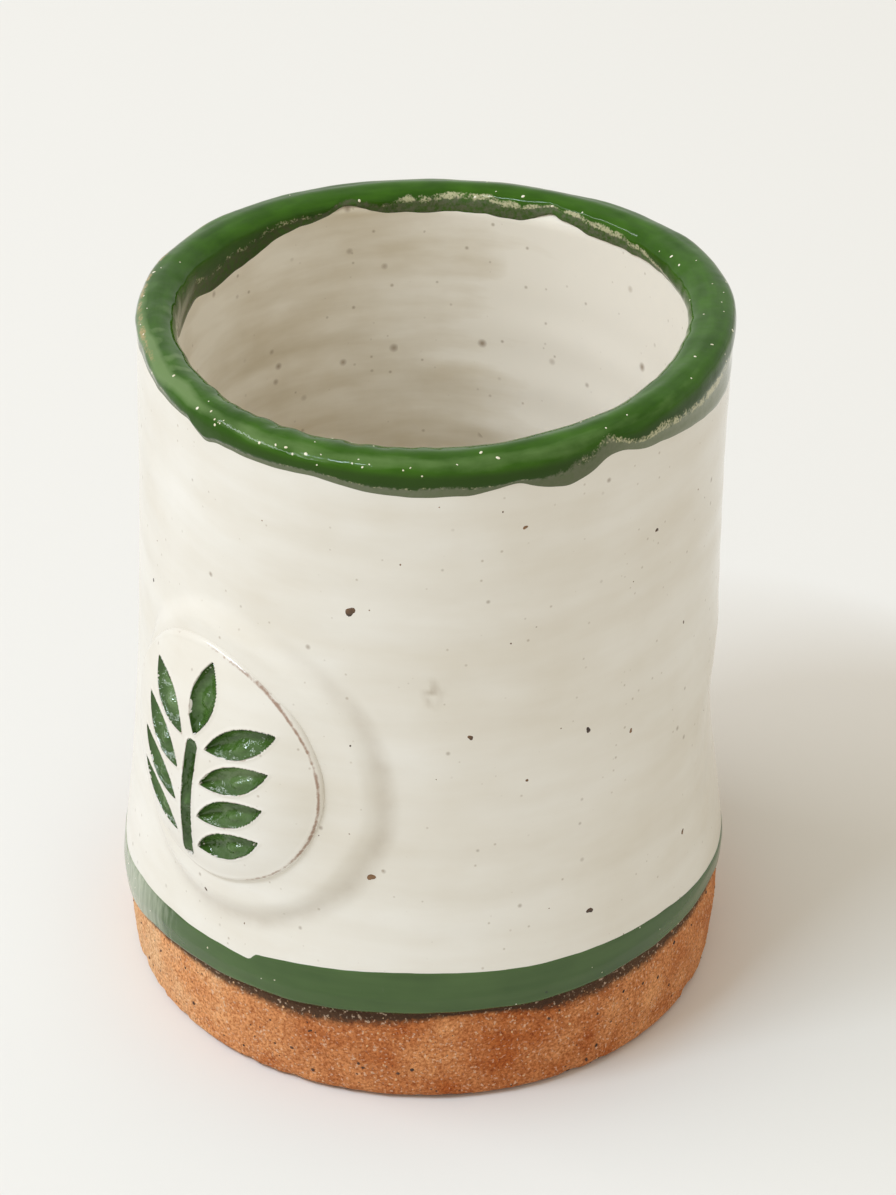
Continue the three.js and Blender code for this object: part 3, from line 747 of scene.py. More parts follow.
# %% Green glaze of the lip
def green_glaze(name, colours, roughness, mirror, pitting):
    """Thick glossy green glaze: deep where it pools, paler where it is thin and where sheen is painted, sheer
    at its edges.
    """
    material, add = new_material(name)
    full, deep, pooled, thinned, sheer, dark_sheer = colours
    place = add("ShaderNodeTexCoord").outputs["Object"]
    brush = add("ShaderNodeAttribute", attribute_name="brush").outputs["Vector"]
    thin, pool, shade, mottle, thick, pale, rust, bumpy = [
        add("ShaderNodeAttribute", attribute_name=attribute).outputs["Fac"]
        for attribute in ("thin", "pool", "shade", "mottle", "thick", "pale", "rust", "bumpy")]
    clouds, rag, patchy, grains, swell = [
        add("ShaderNodeTexNoise", {"Vector": place, "Scale": per(size), "Detail": detail, "Roughness": rough})
        for size, detail, rough in ((6, 4, 0.5), (0.7, 4, 0.65), (1.5, 2, 0.5), (0.3, 2, 0.5), (1.2, 3, 0.5))]
    streaks = add("ShaderNodeTexNoise", {"Vector": brush, "Scale": per(0.9), "Detail": 3})
    tone = add("ShaderNodeMix", {0: 0.5, 2: clouds, 3: streaks})
    painted = lay_over(add, deep, full, tone, 0.38, 0.62)
    worn = add("ShaderNodeMath", {0: thin, 1: tone}, operation="ADD")
    body = lay_over(add, painted, thinned, worn, 0.75, 1.25, 0.9)
    body = lay_over(add, body, pooled, pool, 0, 1)

    veil = lay_over(add, sheer, dark_sheer, shade, 0, 1)
    spots = add("ShaderNodeMapRange", {"Value": rag, "From Min": 0.4, "From Max": 0.62, "To Max": 0.75})
    spots = add("ShaderNodeMath", {0: spots, 1: mottle}, operation="MULTIPLY")
    fringe = lay_over(add, veil, painted, spots, 0, 1)
    cover = add("ShaderNodeMath", {0: thick, 1: rag}, operation="ADD")
    colour = lay_over(add, fringe, body, cover, 0.85, 1.1)

    from_edge = add("ShaderNodeMath", {0: thick, 1: 0.5}, operation="SUBTRACT")
    from_edge = add("ShaderNodeMath", {0: from_edge}, operation="ABSOLUTE")
    near_edge = add("ShaderNodeMapRange", {"Value": from_edge, "From Min": 0.4, "From Max": 0.1})
    broken = add("ShaderNodeMath", {0: grains, 1: patchy}, operation="MULTIPLY")
    flecks = add("ShaderNodeMath", {0: near_edge, 1: broken}, operation="MULTIPLY")
    flecks = add("ShaderNodeMath", {0: flecks, 1: pale}, operation="MULTIPLY")
    colour = lay_over(add, colour, "#bfbc98", flecks, 0.21, 0.36, 0.85)
    rusty = add("ShaderNodeMath", {0: rust, 1: broken}, operation="MULTIPLY")
    colour = lay_over(add, colour, "#b09468", rusty, 0.16, 0.3, 0.75)

    uneven = add("ShaderNodeMath", {0: swell, 1: bumpy}, operation="MULTIPLY")
    skin = add("ShaderNodeBump", {"Height": uneven, "Distance": pitting * MM})
    gloss = add("ShaderNodeMapRange", {
        "Value": clouds, "From Min": 0.3, "From Max": 0.7, "To Min": roughness, "To Max": roughness + 0.05})
    glaze = add("ShaderNodeBsdfPrincipled", {
        "Base Color": colour, "Roughness": gloss, "Normal": skin, "IOR": 1.5, "Specular IOR Level": mirror})
    add("ShaderNodeOutputMaterial", {"Surface": glaze})
    return material


# Colours: full, deep, pooled, thin, sheer and dark sheer
LIP_COLOURS = ("#3a6312", "#2b4f08", "#2c4414", "#6b8452", "#888d78", "#434a2a")
CARVING_COLOURS = ("#4c6d30", "#3a5a20", "#2f4a1a", "#6f8a58", "#858a72", "#4c5136")
lip_green = green_glaze("thick_copper_green_glaze", LIP_COLOURS, 0.02, 0.13, 0.1)
carving_green = green_glaze("carved_green_glaze", CARVING_COLOURS, 0.02, 0.5, 0.35)
print("green glazes:", lip_green.name, "and", carving_green.name)

# %% Lines of the lip, as (degrees, value): edge heights and fringe widths in mm, the rest as shares
LIP_OUT_LINE = [
    (-170, 92.6), (-150, 93.2), (-125, 93.9), (-106, 93.3), (-98.5, 93.2), (-95.5, 92.2), (-92.5, 91.4),
    (-89.5, 92.1), (-78, 91.8), (-68, 92.1), (-59, 91.4), (-51, 91.2), (-42, 91.6), (-33, 92.8),
    (-29, 91.7), (-24.5, 91.2), (-19.5, 92), (-16, 93.3), (-12.5, 93.2), (-8, 92.1), (-2, 91.5),
    (5, 90.5), (13, 89.2), (20, 88.4), (28, 87.7), (38, 87.7), (48, 89.6), (62, 91.6), (80, 91),
    (96, 92.2), (108, 90.6), (116, 91.9), (135, 91.4), (152, 92.4)]
LIP_IN_LINE = [
    (-176, 89.2), (-170, 89.2), (-165, 90.6), (-158, 90), (-150, 89.4), (-140, 91.6), (-120, 92.8),
    (-90, 92.2), (-50, 92.8), (-20, 92), (10, 92.9), (40, 91.6), (57, 91.4), (64, 92), (75, 93),
    (93, 93.4), (100, 93.9), (105, 94.4), (109, 93.7), (114, 93.2), (126, 93.4), (134, 92.9), (143, 92.8),
    (147, 93.6), (150, 94.3), (153, 94), (156, 93), (162, 92.2), (168, 91.6), (172, 90.5), (177, 89.8)]
SHEER_OUT = [
    (-150, 0.6), (-98, 0.5), (-92, 0.7), (-85, 1), (-60, 1.2), (-45, 1.6), (-34, 0.4), (-29, 1.4),
    (-24, 2.4), (-18, 1.8), (-13, 0.7), (-4, 1.8), (10, 3), (25, 4.4), (38, 4.2), (55, 1.4), (80, 0.8),
    (105, 1.6), (130, 0.7), (165, 1)]
SHEER_IN = [
    (-176, 3.2), (-168, 2.6), (-155, 2.8), (-140, 1.4), (-110, 0.7), (-40, 0.7), (30, 0.7), (57, 1),
    (75, 0.9), (95, 1), (105, 0.5), (112, 1.2), (125, 1.5), (138, 1.6), (147, 0.7), (153, 0.5),
    (160, 1.3), (170, 2.6)]
PALE_OUT = [
    (-175, 0.75), (-140, 0.95), (-110, 0.95), (-92, 0.6), (-60, 0.75), (-40, 0.85), (-28, 0.6),
    (-20, 0.65), (-13, 1.2), (0, 1.3), (20, 1.3), (36, 1.1), (60, 0.8), (90, 0.7), (150, 0.7)]
PALE_IN = [
    (-175, 0.8), (-150, 0.75), (-110, 0.5), (-40, 0.5), (30, 0.7), (57, 1.3), (75, 1.35), (95, 1.2),
    (105, 0.9), (112, 1.2), (125, 1.2), (138, 1.15), (147, 0.5), (153, 0.6), (160, 0.9), (170, 0.9)]
THIN_LINE = [
    (-180, 0.05), (-154, 0.05), (-143, 0.6), (-134, 1), (-112, 1), (-98, 0.75), (-85, 0.7), (-70, 0.5),
    (-30, 0.5), (0, 0.35), (25, 0.1), (90, 0.15), (150, 0.15)]
POOL_LINE = [
    (-180, 0.3), (-140, 0.35), (-110, 0.5), (-85, 0.75), (-60, 0.9), (-20, 1), (10, 0.9), (40, 0.6),
    (90, 0.3)]
SHADE_IN = [
    (-178, 1), (-160, 0.95), (-145, 0.6), (-110, 0.4), (-50, 0.4), (-8, 0.4), (60, 0.6), (110, 0.7),
    (140, 0.7), (156, 0.8), (168, 1)]
SHADE_OUT = [
    (-170, 0.5), (-100, 0.5), (-50, 0.5), (-32, 0.65), (-20, 0.65), (-10, 0.35), (10, 0.1), (40, 0),
    (60, 0.3), (110, 0.5)]
RUST_LINE = [
    (-180, 0.8), (-150, 1), (-122, 0.9), (-112, 0.2), (-100, 0), (20, 0), (50, 0.5), (70, 0.8), (140, 0.7)]
SWELL_LINE = [(-180, 0), (-90, 0), (-20, 0.1), (10, 0.45), (30, 0.6), (55, 0.6), (80, 0.3), (110, 0)]
BUBBLE_LINE = [
    (-180, 0.3), (-140, 0.4), (-120, 0.3), (-104, 0.9), (-60, 0.9), (-48, 0.3), (-24, 0.4), (-16, 1),
    (-8, 0.5), (14, 0.5), (24, 1.6), (42, 1.6), (56, 0.5), (120, 0.3)]
LUMPY_LINE = [(-180, 0), (-112, 0.05), (-98, 0.8), (-88, 1), (-72, 0.95), (-60, 0.8), (-48, 0.3), (-36, 0)]

# %% Shape of the green lip
LIP_ROWS = 64
LIP_COAT = 0.95
LIP_INNER_DROP = 0.15
LIP_EDGE = 0.06
LIP_BEAD = 0.9
SHEER_BUILD = 0.14
FULL_BUILD = 0.24
LIP_CORNER = 0.3
LIP_LUMPS = 0.32
# Height, size (mm) and seed of each ripple
LIP_RIPPLES = ((0.05, 3.6, 13), (0.02, 1.5, 17), (0.08, 9, 14))

out_edge = hand_line(LIP_OUT_LINE, 1.1)
in_edge = hand_line(LIP_IN_LINE, 1.6)
ring = press_by_hand(*polar(wall_radius(out_edge), out_edge))
start = path_at(out_edge + 0.12 * lumps(ring, 2.6, 11))
finish = -path_at(in_edge + 0.2 * lumps(ring, 2.2, 12))
even = np.linspace(0, 1, LIP_ROWS)
lip_path = start + (finish - start) * (even - 0.09 * np.sin(2 * np.pi * even))[None, :]
from_out = start - lip_path
from_in = lip_path - finish
thick = np.minimum(from_out / hand_line(SHEER_OUT, 2), from_in / hand_line(SHEER_IN, 2))
thick = np.clip(thick - 0.5, 0, 1)
lumpy = hand_line(LUMPY_LINE, 6)

lip_points = press_by_hand(*polar(*section(lip_path, 1 + 0 * lip_path)))
foot_ring = press_by_hand(*polar(wall_radius(out_edge), 0 * out_edge))
ripples = sum(height * lumps(lip_points, size, seed) for height, size, seed in LIP_RIPPLES)
build_up = SHEER_BUILD + FULL_BUILD * ease(thick) + ripples * (0.4 + 0.6 * ease(thick))
lip_offset = LIP_COAT - LIP_INNER_DROP * ease((LIP_REACH - lip_path) / 2)
lip_offset = lip_offset - LIP_EDGE + bead(np.minimum(from_out, from_in), LIP_BEAD) * (LIP_EDGE + build_up)
corners = (1 - 0.95 * lumpy) * bump((lip_path - 1.45) / 0.95) + 0.7 * bump((lip_path + 1.5) / 1.1)
lip_offset = lip_offset + LIP_CORNER * (1 + 0.8 * lumps(foot_ring, 8, 19)) * corners
lip_offset = lip_offset + 0.1 * lumps(lip_points, 2.4, 20) * bump((lip_path + 2) / 1.3)
lip_offset = lip_offset + hand_line(SWELL_LINE, 8) * bump((lip_path + 2.4) / 2.2)
lip_offset = lip_offset + LIP_LUMPS * lumpy * lumps(lip_points, 2.5, 23) * bump((lip_path + 1.2) / 2.2)

# %% Looks of the green lip
STREAK_RADIUS = 5
outside = lip_path >= 0
on_top = ease((1.9 - np.abs(lip_path)) / 0.8)
# Painted sheen, partly real: the outer corner, where the glaze breaks thin and the highlight falls, is
# painted paler
worn_corner_and_sheen = 0.9 * bump((lip_path - 1.2 + 0.5 * lumps(lip_points, 6, 22)) / 1.1)
worn_top = 0.5 * on_top * ease(0.2 + 2 * lumps(lip_points, 2.4, 18))
pool_out = hand_line(POOL_LINE, 8) * ease((lip_path - 1.7) / 0.7)
healed = hand_line(BUBBLE_LINE, 3) * ease((3.4 - np.abs(lip_path)) / 1.2)
flat_ring = STREAK_RADIUS * np.stack([np.cos(angles), np.sin(angles)]) + 0 * lip_path
lip_looks = {
    "thick": thick,
    "shade": np.where(outside, hand_line(SHADE_OUT, 3), hand_line(SHADE_IN, 3)),
    "pale": np.where(outside, hand_line(PALE_OUT, 3), hand_line(PALE_IN, 3)),
    "thin": hand_line(THIN_LINE, 6) * np.maximum(worn_corner_and_sheen, worn_top),
    "pool": pool_out + 0.5 * ease((-1.7 - lip_path) / 0.8),
    "brush": MM * np.stack([*flat_ring, lip_path], axis=-1),
    "bumpy": 0.3 + 0.3 * lumpy,
    "mottle": np.where(outside, 0.2, 1.0),
    "rust": hand_line(RUST_LINE, 4) * bump((lip_path - 1.3) / 0.55),
    # Painted highlight: along the front corner the pale dots crowd into a row that stands in for glints
    "bubbles_and_painted_glints": healed + 9 * lumpy * bump((lip_path - 1.5) / 0.5),
}
lip_mesh = coat_mesh("green_lip", lip_path, lip_offset, COAT_BACK, lip_looks, lip_green)
green_lip = add_piece("green_lip", lip_mesh, "green_glaze", "rim_glaze")

# %% [markdown]
# ## The painted band
# Above the foot runs one brushed band of the same green, thinner and with a satin shine. A small
# notch shows where the brush stroke began. On the side that faces the lamps it has pale upright
# streaks, partly wear and mostly painted sheen. Its lower edge hangs over the bare clay as a
# rounded bead.

# %% Satin green glaze of the band
# Spacing, share left out, widest radius, soft edge (mm), strength and colour of the pinholes
PINHOLES = (2.4, 0.7, 0.264, 0.096, 0.75, "#2a3320")

band_green, add = new_material("satin_green_band_glaze")
place = add("ShaderNodeTexCoord").outputs["Object"]
worn = add("ShaderNodeAttribute", attribute_name="worn").outputs["Fac"]
brush, scratches = [
    add("ShaderNodeTexNoise", {
        "Vector": add("ShaderNodeMapping", {"Vector": place, "Scale": stretch}),
        "Scale": per(size), "Detail": 4})
    for stretch, size in (((0.1, 0.1, 1), 1.4), ((1, 1, 0.2), 0.9))]
clouds = add("ShaderNodeTexNoise", {"Vector": place, "Scale": per(12), "Detail": 3})
tone = add("ShaderNodeMix", {0: 0.4, 2: clouds, 3: brush})
colour = lay_over(add, "#334f1b", "#435f2a", tone, 0.35, 0.65)
colour = dotted(add, colour, place, *PINHOLES)
# Painted sheen, partly wear: pale upright streaks on the side that faces the lamps
wear_and_sheen_streaks = add("ShaderNodeMath", {0: worn, 1: scratches}, operation="ADD")
colour = lay_over(add, colour, "#c9cfb8", wear_and_sheen_streaks, 0.75, 1.6, 0.65)
gloss = add("ShaderNodeMapRange", {
    "Value": brush, "From Min": 0.3, "From Max": 0.7, "To Min": 0.14, "To Max": 0.26})
skin = add("ShaderNodeBump", {"Height": brush, "Strength": 0.2, "Distance": 0.1 * MM})
glaze = add("ShaderNodeBsdfPrincipled", {
    "Base Color": colour, "Roughness": gloss, "Normal": skin, "IOR": 1.5, "Specular IOR Level": 0.5})
add("ShaderNodeOutputMaterial", {"Surface": glaze})
print(band_green.name, "is made of", len(band_green.node_tree.nodes), "nodes")

# %% Painted green band
# Where the band gets its pale streaks of painted sheen and some wear, as (degrees, share)
WEAR_AND_SHEEN_LINE = [
    (-180, 0.2), (-155, 0.5), (-138, 0.78), (-126, 0.82), (-113, 0.84), (-104, 0.45), (-95, 0), (20, 0),
    (45, 0.3), (80, 0.1), (140, 0)]
BAND_ROWS = 26
BAND_BEAD = 0.6
BAND_SINK = 0.05
BAND_OVER_WHITE = 0.15
BAND_EDGE = -0.08
BAND_OVER_CLAY = 0.85
BAND_CLIMB = 0.36
BAND_CLIMB_START = 0.2
BAND_CLIMB_REACH = 3

band_start = path_at(band_top)
band_end = path_at(band_low)
band_path = band_start + (band_end - band_start) * np.linspace(0, 1, BAND_ROWS)[None, :]
from_low = band_end - band_path
over_white = WALL_COAT - BAND_SINK + BAND_OVER_WHITE * bead(band_path - band_start, BAND_BEAD)
climb = BAND_CLIMB * ease((from_low - BAND_CLIMB_START) / BAND_CLIMB_REACH)
over_clay = BAND_EDGE + BAND_OVER_CLAY * bead(from_low, BAND_BEAD) + climb
band_mesh = coat_mesh(
    "green_band", band_path, np.minimum(over_white, over_clay), COAT_BACK,
    {"worn": hand_line(WEAR_AND_SHEEN_LINE, 5)}, band_green)
green_band = add_piece("green_band", band_mesh, "band_green_glaze", "foot_band_glaze")

# %% [markdown]
# ## The carved disc
# The disc is a pat of clay stuck to the wall, domed with the thumb and cut with a gouge while it was
# leather hard. A generic sprig is carved here: a stem, four pairs of leaves and a leaf at the tip.
# The disc is drawn flat, in millimetres to the right, up and out, and then bent onto the wall. Its
# white coat is a fine polar grid whose height drops inside each stroke and stands up a little along
# the cut, as the burr that a gouge leaves.

# %% Shape of the disc and its strokes
DISC_BACK = 0.9
DISC_EDGE = 1.1
DISC_DOME = 2.3
DISC_UNEVEN = 0.12
EDGE_ROUNDING = 0.9
LEAF_PAIRS = 4
LEAF_LENGTH = 10.5
LEAF_WIDTH = 3.9
LEAF_TURN = math.radians(56)
LEAF_START = 2.4
LEAF_GAP = 0.7
LEAF_SPACING = (LEAF_WIDTH + LEAF_GAP) / math.sin(LEAF_TURN)
STEM_WIDTH = 1.8
STEM_ENDS = 1.6
STEM_LENGTH = 2 * STEM_ENDS + LEAF_SPACING * (LEAF_PAIRS - 1)
TIP_LEAF_START = 0.8
SPRIG_TILT = math.radians(7)
STEM_FOOT = -(STEM_LENGTH + TIP_LEAF_START + LEAF_LENGTH) / 2
STEM_TOP = STEM_FOOT + STEM_LENGTH
GOUGE_DEPTH = 1.4
GOUGE_LEAN = 0.45
INLAY_BED = 0.4


def dome(distance):
    """Height of the glazed disc above the clay wall."""
    return DISC_BACK + DISC_EDGE + DISC_COAT + DISC_DOME * (1 - (distance / DISC_RADIUS) ** 2)


def leaf_half_width(share):
    """Half the width of a leaf at a share of its length."""
    return 2 * LEAF_WIDTH * share * (1 - share)


def stem_half_width(share):
    """Half the width of the stem, which has round ends."""
    half = STEM_WIDTH / 2
    past = np.clip(np.abs(share - 0.5) * STEM_LENGTH - (STEM_LENGTH / 2 - half), 0, half)
    return np.sqrt(half**2 - past**2)


def gouge_profile(share, aside, number):
    """Depth of a stroke, as a share, along it and across it from -1 to 1, with a lopsided cut."""
    across = 0.75 * (1 - aside**2) ** 0.6 + 0.25 * (1 - np.abs(aside))
    lean = GOUGE_LEAN * (-1) ** number
    return across * (1 + lean * aside) * np.minimum(1, 5 * share * (1 - share) + 0.25)


# Name of the stroke, half width, length, turn, start along the turned line and height of its root
strokes = [("stem", stem_half_width, STEM_LENGTH, 0, 0, STEM_FOOT),
           ("tip_leaf", leaf_half_width, LEAF_LENGTH, 0, TIP_LEAF_START, STEM_TOP)]
for pair in range(LEAF_PAIRS):
    height = STEM_TOP - STEM_ENDS - pair * LEAF_SPACING
    for side, turn in (("left", -LEAF_TURN), ("right", LEAF_TURN)):
        strokes.append((f"{side}_leaf", leaf_half_width, LEAF_LENGTH, turn, LEAF_START, height))


def turned(u, v, turn):
    """A flat point turned clockwise."""
    return u * np.cos(turn) + v * np.sin(turn), v * np.cos(turn) - u * np.sin(turn)


def on_wall(u, v, out):
    """Bend flat disc places onto the front of the wall, in metres."""
    z = DISC_HEIGHT + v
    return press_by_hand(wall_radius(z) + out, FRONT + u / float(wall_radius(DISC_HEIGHT)), z)


print(len(strokes), "strokes on a disc", round(2 * DISC_SIDE, 1), "mm wide")

# %% White coat of the disc
DISC_COLUMNS = 480
DISC_TOP_ROWS = 116
DISC_FOOT = 0.5
DISC_BACK_STEP = 3
DISC_BACK_INSET = 0.965
DISC_BACK_DEPTH = 0.55
BURR_WIDTH = 0.55
BURR_HEIGHT = 0.1
# Size, waves round the disc and shift of each wobble of its outline
WOBBLES = ((0.008, 2, 1), (0.006, 5, 0), (0.004, 9, 2))

dome_edge = DISC_SIDE - EDGE_ROUNDING
edge_angles = np.linspace(np.pi / 2, 0, 9)[1:]
top_rows = np.linspace(0, dome_edge, DISC_TOP_ROWS)
edge_rows = dome_edge + EDGE_ROUNDING * np.cos(edge_angles)
edge_heights = dome(dome_edge) - EDGE_ROUNDING + EDGE_ROUNDING * np.sin(edge_angles)
side_heights = np.linspace(edge_heights[-1], DISC_FOOT, 6)[1:]
disc_rows = np.concatenate([top_rows, edge_rows, 0 * side_heights + DISC_SIDE])[None, :]
disc_heights = np.concatenate([dome(top_rows), edge_heights, side_heights])
turns = np.linspace(0, 2 * np.pi, DISC_COLUMNS, endpoint=False)[:, None]
wobble = sum(size * np.sin(waves * turns + shift) for size, waves, shift in WOBBLES)
reach = disc_rows * (1 + wobble * (disc_rows / DISC_SIDE) ** 2)
disc_u = reach * np.cos(turns)
disc_v = reach * np.sin(turns)
flat_points = MM * np.stack([disc_u, disc_v, 0 * disc_u], axis=-1)
disc_out = disc_heights + DISC_UNEVEN * lumps(flat_points, 6, 15) * ease(disc_heights / 3)

burr = np.zeros(disc_u.shape)
carved = np.zeros(disc_u.shape)
for number, (_, half_width, length, turn, start_at, height) in enumerate(strokes):
    u, v = turned(disc_u, disc_v, -SPRIG_TILT)
    u, v = turned(u, v - height, -turn)
    share = np.clip((v - start_at) / length, 0.001, 0.999)
    half_wide = np.maximum(half_width(share), 0.02)
    past_end = np.maximum(np.abs(v - start_at - length / 2) - length / 2, 0)
    from_cut = np.hypot(np.maximum(np.abs(u) - half_wide, 0), past_end)
    in_cut = from_cut == 0
    profile = gouge_profile(share, np.clip(u / half_wide, -1, 1), number)
    carved = np.where(in_cut, GOUGE_DEPTH * profile + INLAY_BED, carved)
    burr = np.maximum(burr, bump(from_cut / BURR_WIDTH) * ~in_cut)
disc_out = disc_out - carved + BURR_HEIGHT * burr
edge_break = ease(0.5 + 0.6 * np.cos(turns - 0.2) + 0.5 * lumps(flat_points, 4, 21))
edge_break = edge_break * bump((reach - dome_edge - 0.5) / 0.5)
picks = back_rows(disc_u.shape[1], DISC_BACK_STEP)
disc_hidden = on_wall(disc_u[:, picks] * DISC_BACK_INSET, disc_v[:, picks] * DISC_BACK_INSET,
                      np.maximum(disc_out[:, picks] - DISC_BACK_DEPTH, 0.3))
disc_points = np.concatenate([on_wall(disc_u, disc_v, disc_out), disc_hidden], axis=1)
disc_breaks = np.concatenate([np.maximum(0.75 * burr, edge_break), np.zeros(disc_hidden.shape[:2])], axis=1)
disc_mesh = make_mesh(
    "carved_disc_coat", disc_points, ring_faces(DISC_COLUMNS, disc_points.shape[1], False),
    {"breaks": disc_breaks}, wall_white)
add_piece("carved_disc_coat", disc_mesh, "white_glaze", "medallion_glaze")

# %% [markdown]
# ## Green glaze in the carving
# Green glaze was brushed into each stroke and the high parts were wiped, so it lines the hollow and
# stops at a crisp edge. Every stroke is its own small closed piece: a hollow skin that meets the disc
# along the stroke's outline, and a bottom that is sunk into the white coat. The gouge leans to one
# side or the other, so the strokes catch the light differently, as hand-cut ones do.

# %% Inlaid green strokes
INLAY_ALONG = 44
INLAY_ACROSS = 21
INLAY_DEPTH = 0.55
INLAY_RISE = 0.09
INLAY_RIPPLE = 0.16
DROP_HEIGHT = 0.9
DROP_REACH = 1.1
share_rows = np.linspace(0.012, 0.988, INLAY_ALONG)[:, None]
aside_rows = np.sin(np.linspace(-np.pi / 2, np.pi / 2, INLAY_ACROSS))[None, :]


def there_and_back(values):
    """Values across a stroke's top, then back again for its bottom."""
    return np.concatenate([values, values[:, ::-1]], axis=1)


for number, (name, half_width, length, turn, start_at, height) in enumerate(strokes):
    ragged = 1 + 0.05 * np.sin(9 * share_rows + 2 * number) * aside_rows
    ragged = ragged + 0.03 * np.sin(23 * share_rows + number)
    u = aside_rows * half_width(share_rows) * ragged
    v = start_at + share_rows * length + 0 * aside_rows
    drop_u = 0.3 * np.sign(turn) * half_width(0.5)
    drop_v = start_at + length * (0.45 + 0.12 * math.sin(3 * number))
    drop = DROP_HEIGHT * bump(np.hypot(u - drop_u, 0.6 * (v - drop_v)) / DROP_REACH)
    u, v = turned(u, v, turn)
    u, v = turned(u, v + height, SPRIG_TILT)
    profile = gouge_profile(share_rows, aside_rows, number)
    flat_points = MM * np.stack([u, v, 0 * u], axis=-1)
    top = dome(np.hypot(u, v)) + DISC_UNEVEN * lumps(flat_points, 6, 15) + INLAY_RISE - GOUGE_DEPTH * profile
    top = top + (drop + INLAY_RIPPLE * lumps(flat_points, 1.8, 16)) * (1 - aside_rows**2)
    loop_u = there_and_back(u)
    loop_v = there_and_back(v)
    loop_out = np.concatenate([top, (top - INLAY_DEPTH)[:, ::-1]], axis=1)
    points = on_wall(loop_u, loop_v, loop_out)

    around = points.shape[1]
    faces = [[row * around + column, (row + 1) * around + column,
              (row + 1) * around + (column + 1) % around, row * around + (column + 1) % around]
             for row in range(INLAY_ALONG - 1) for column in range(around)]
    for end in (0, (INLAY_ALONG - 1) * around):
        for column in range(INLAY_ACROSS - 1):
            opposite = around - 1 - column
            faces.append([end + column, end + column + 1, end + opposite - 1, end + opposite])
    full = np.ones(points.shape[:2])
    depth = there_and_back(profile)
    inlay_looks = {
        "thick": full,
        "bumpy": full,
        "brush": MM * np.stack([0.15 * loop_u, loop_v, 5 * number * full], axis=-1),
        "thin": 0.6 * depth * (number % 3) / 2,
        "pool": 0.55 * ease(1.2 - 1.4 * depth),
    }
    order = f"_{number // 2}" if turn else ""
    inlay_name = f"{name}_inlay{order}"
    inlay_mesh = make_mesh(inlay_name, points, faces, inlay_looks, carving_green)
    add_piece(inlay_name, inlay_mesh, "green_glaze", f"{name}_glaze{order}")

# %% [markdown]
# ## Clay and slip under the disc
# The clay of the disc and the slip that glues it on are covered by glaze, so the CAD solids stay.
# They still get real finishes, because a cut or a chip would show them.

# %% Joining slip
slip_finish, add = new_material("fired_joining_slip")
place = add("ShaderNodeTexCoord").outputs["Object"]
smear = add("ShaderNodeTexNoise", {"Vector": place, "Scale": per(2), "Detail": 3})
colour = lay_over(add, "#a87450", "#c99a76", smear, 0, 1)
slip = add("ShaderNodeBsdfPrincipled", {"Base Color": colour, "Roughness": 0.95})
add("ShaderNodeOutputMaterial", {"Surface": slip})
for node, finish_material in (("slip_bed", slip_finish), ("clay_medallion", terracotta)):
    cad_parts[node].data.materials.clear()
    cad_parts[node].data.materials.append(finish_material)
    print(node, "is finished as", finish_material.name)

# %% [markdown]
# ## Grit and specks
# Grog stands out of the bare foot as small grains, pale and dark. Iron in the clay burns dark specks
# through the white, and the green lip and band hold pale bubbles that healed over. On the front of
# the lip a row of these pale dots is a painted highlight, in place of glints. These repeat over a
# surface, so one Geometry Nodes tree scatters them: it picks points on the marked side of a mesh,
# puts a small lump on each, turned to the surface and flattened, and gives it its finish. Only the
# ten largest specks on the wall have places of their own.

# %% Scatter tree
LUMP_RADIUS = 0.5 * MM
CM2_IN_M2 = 10000


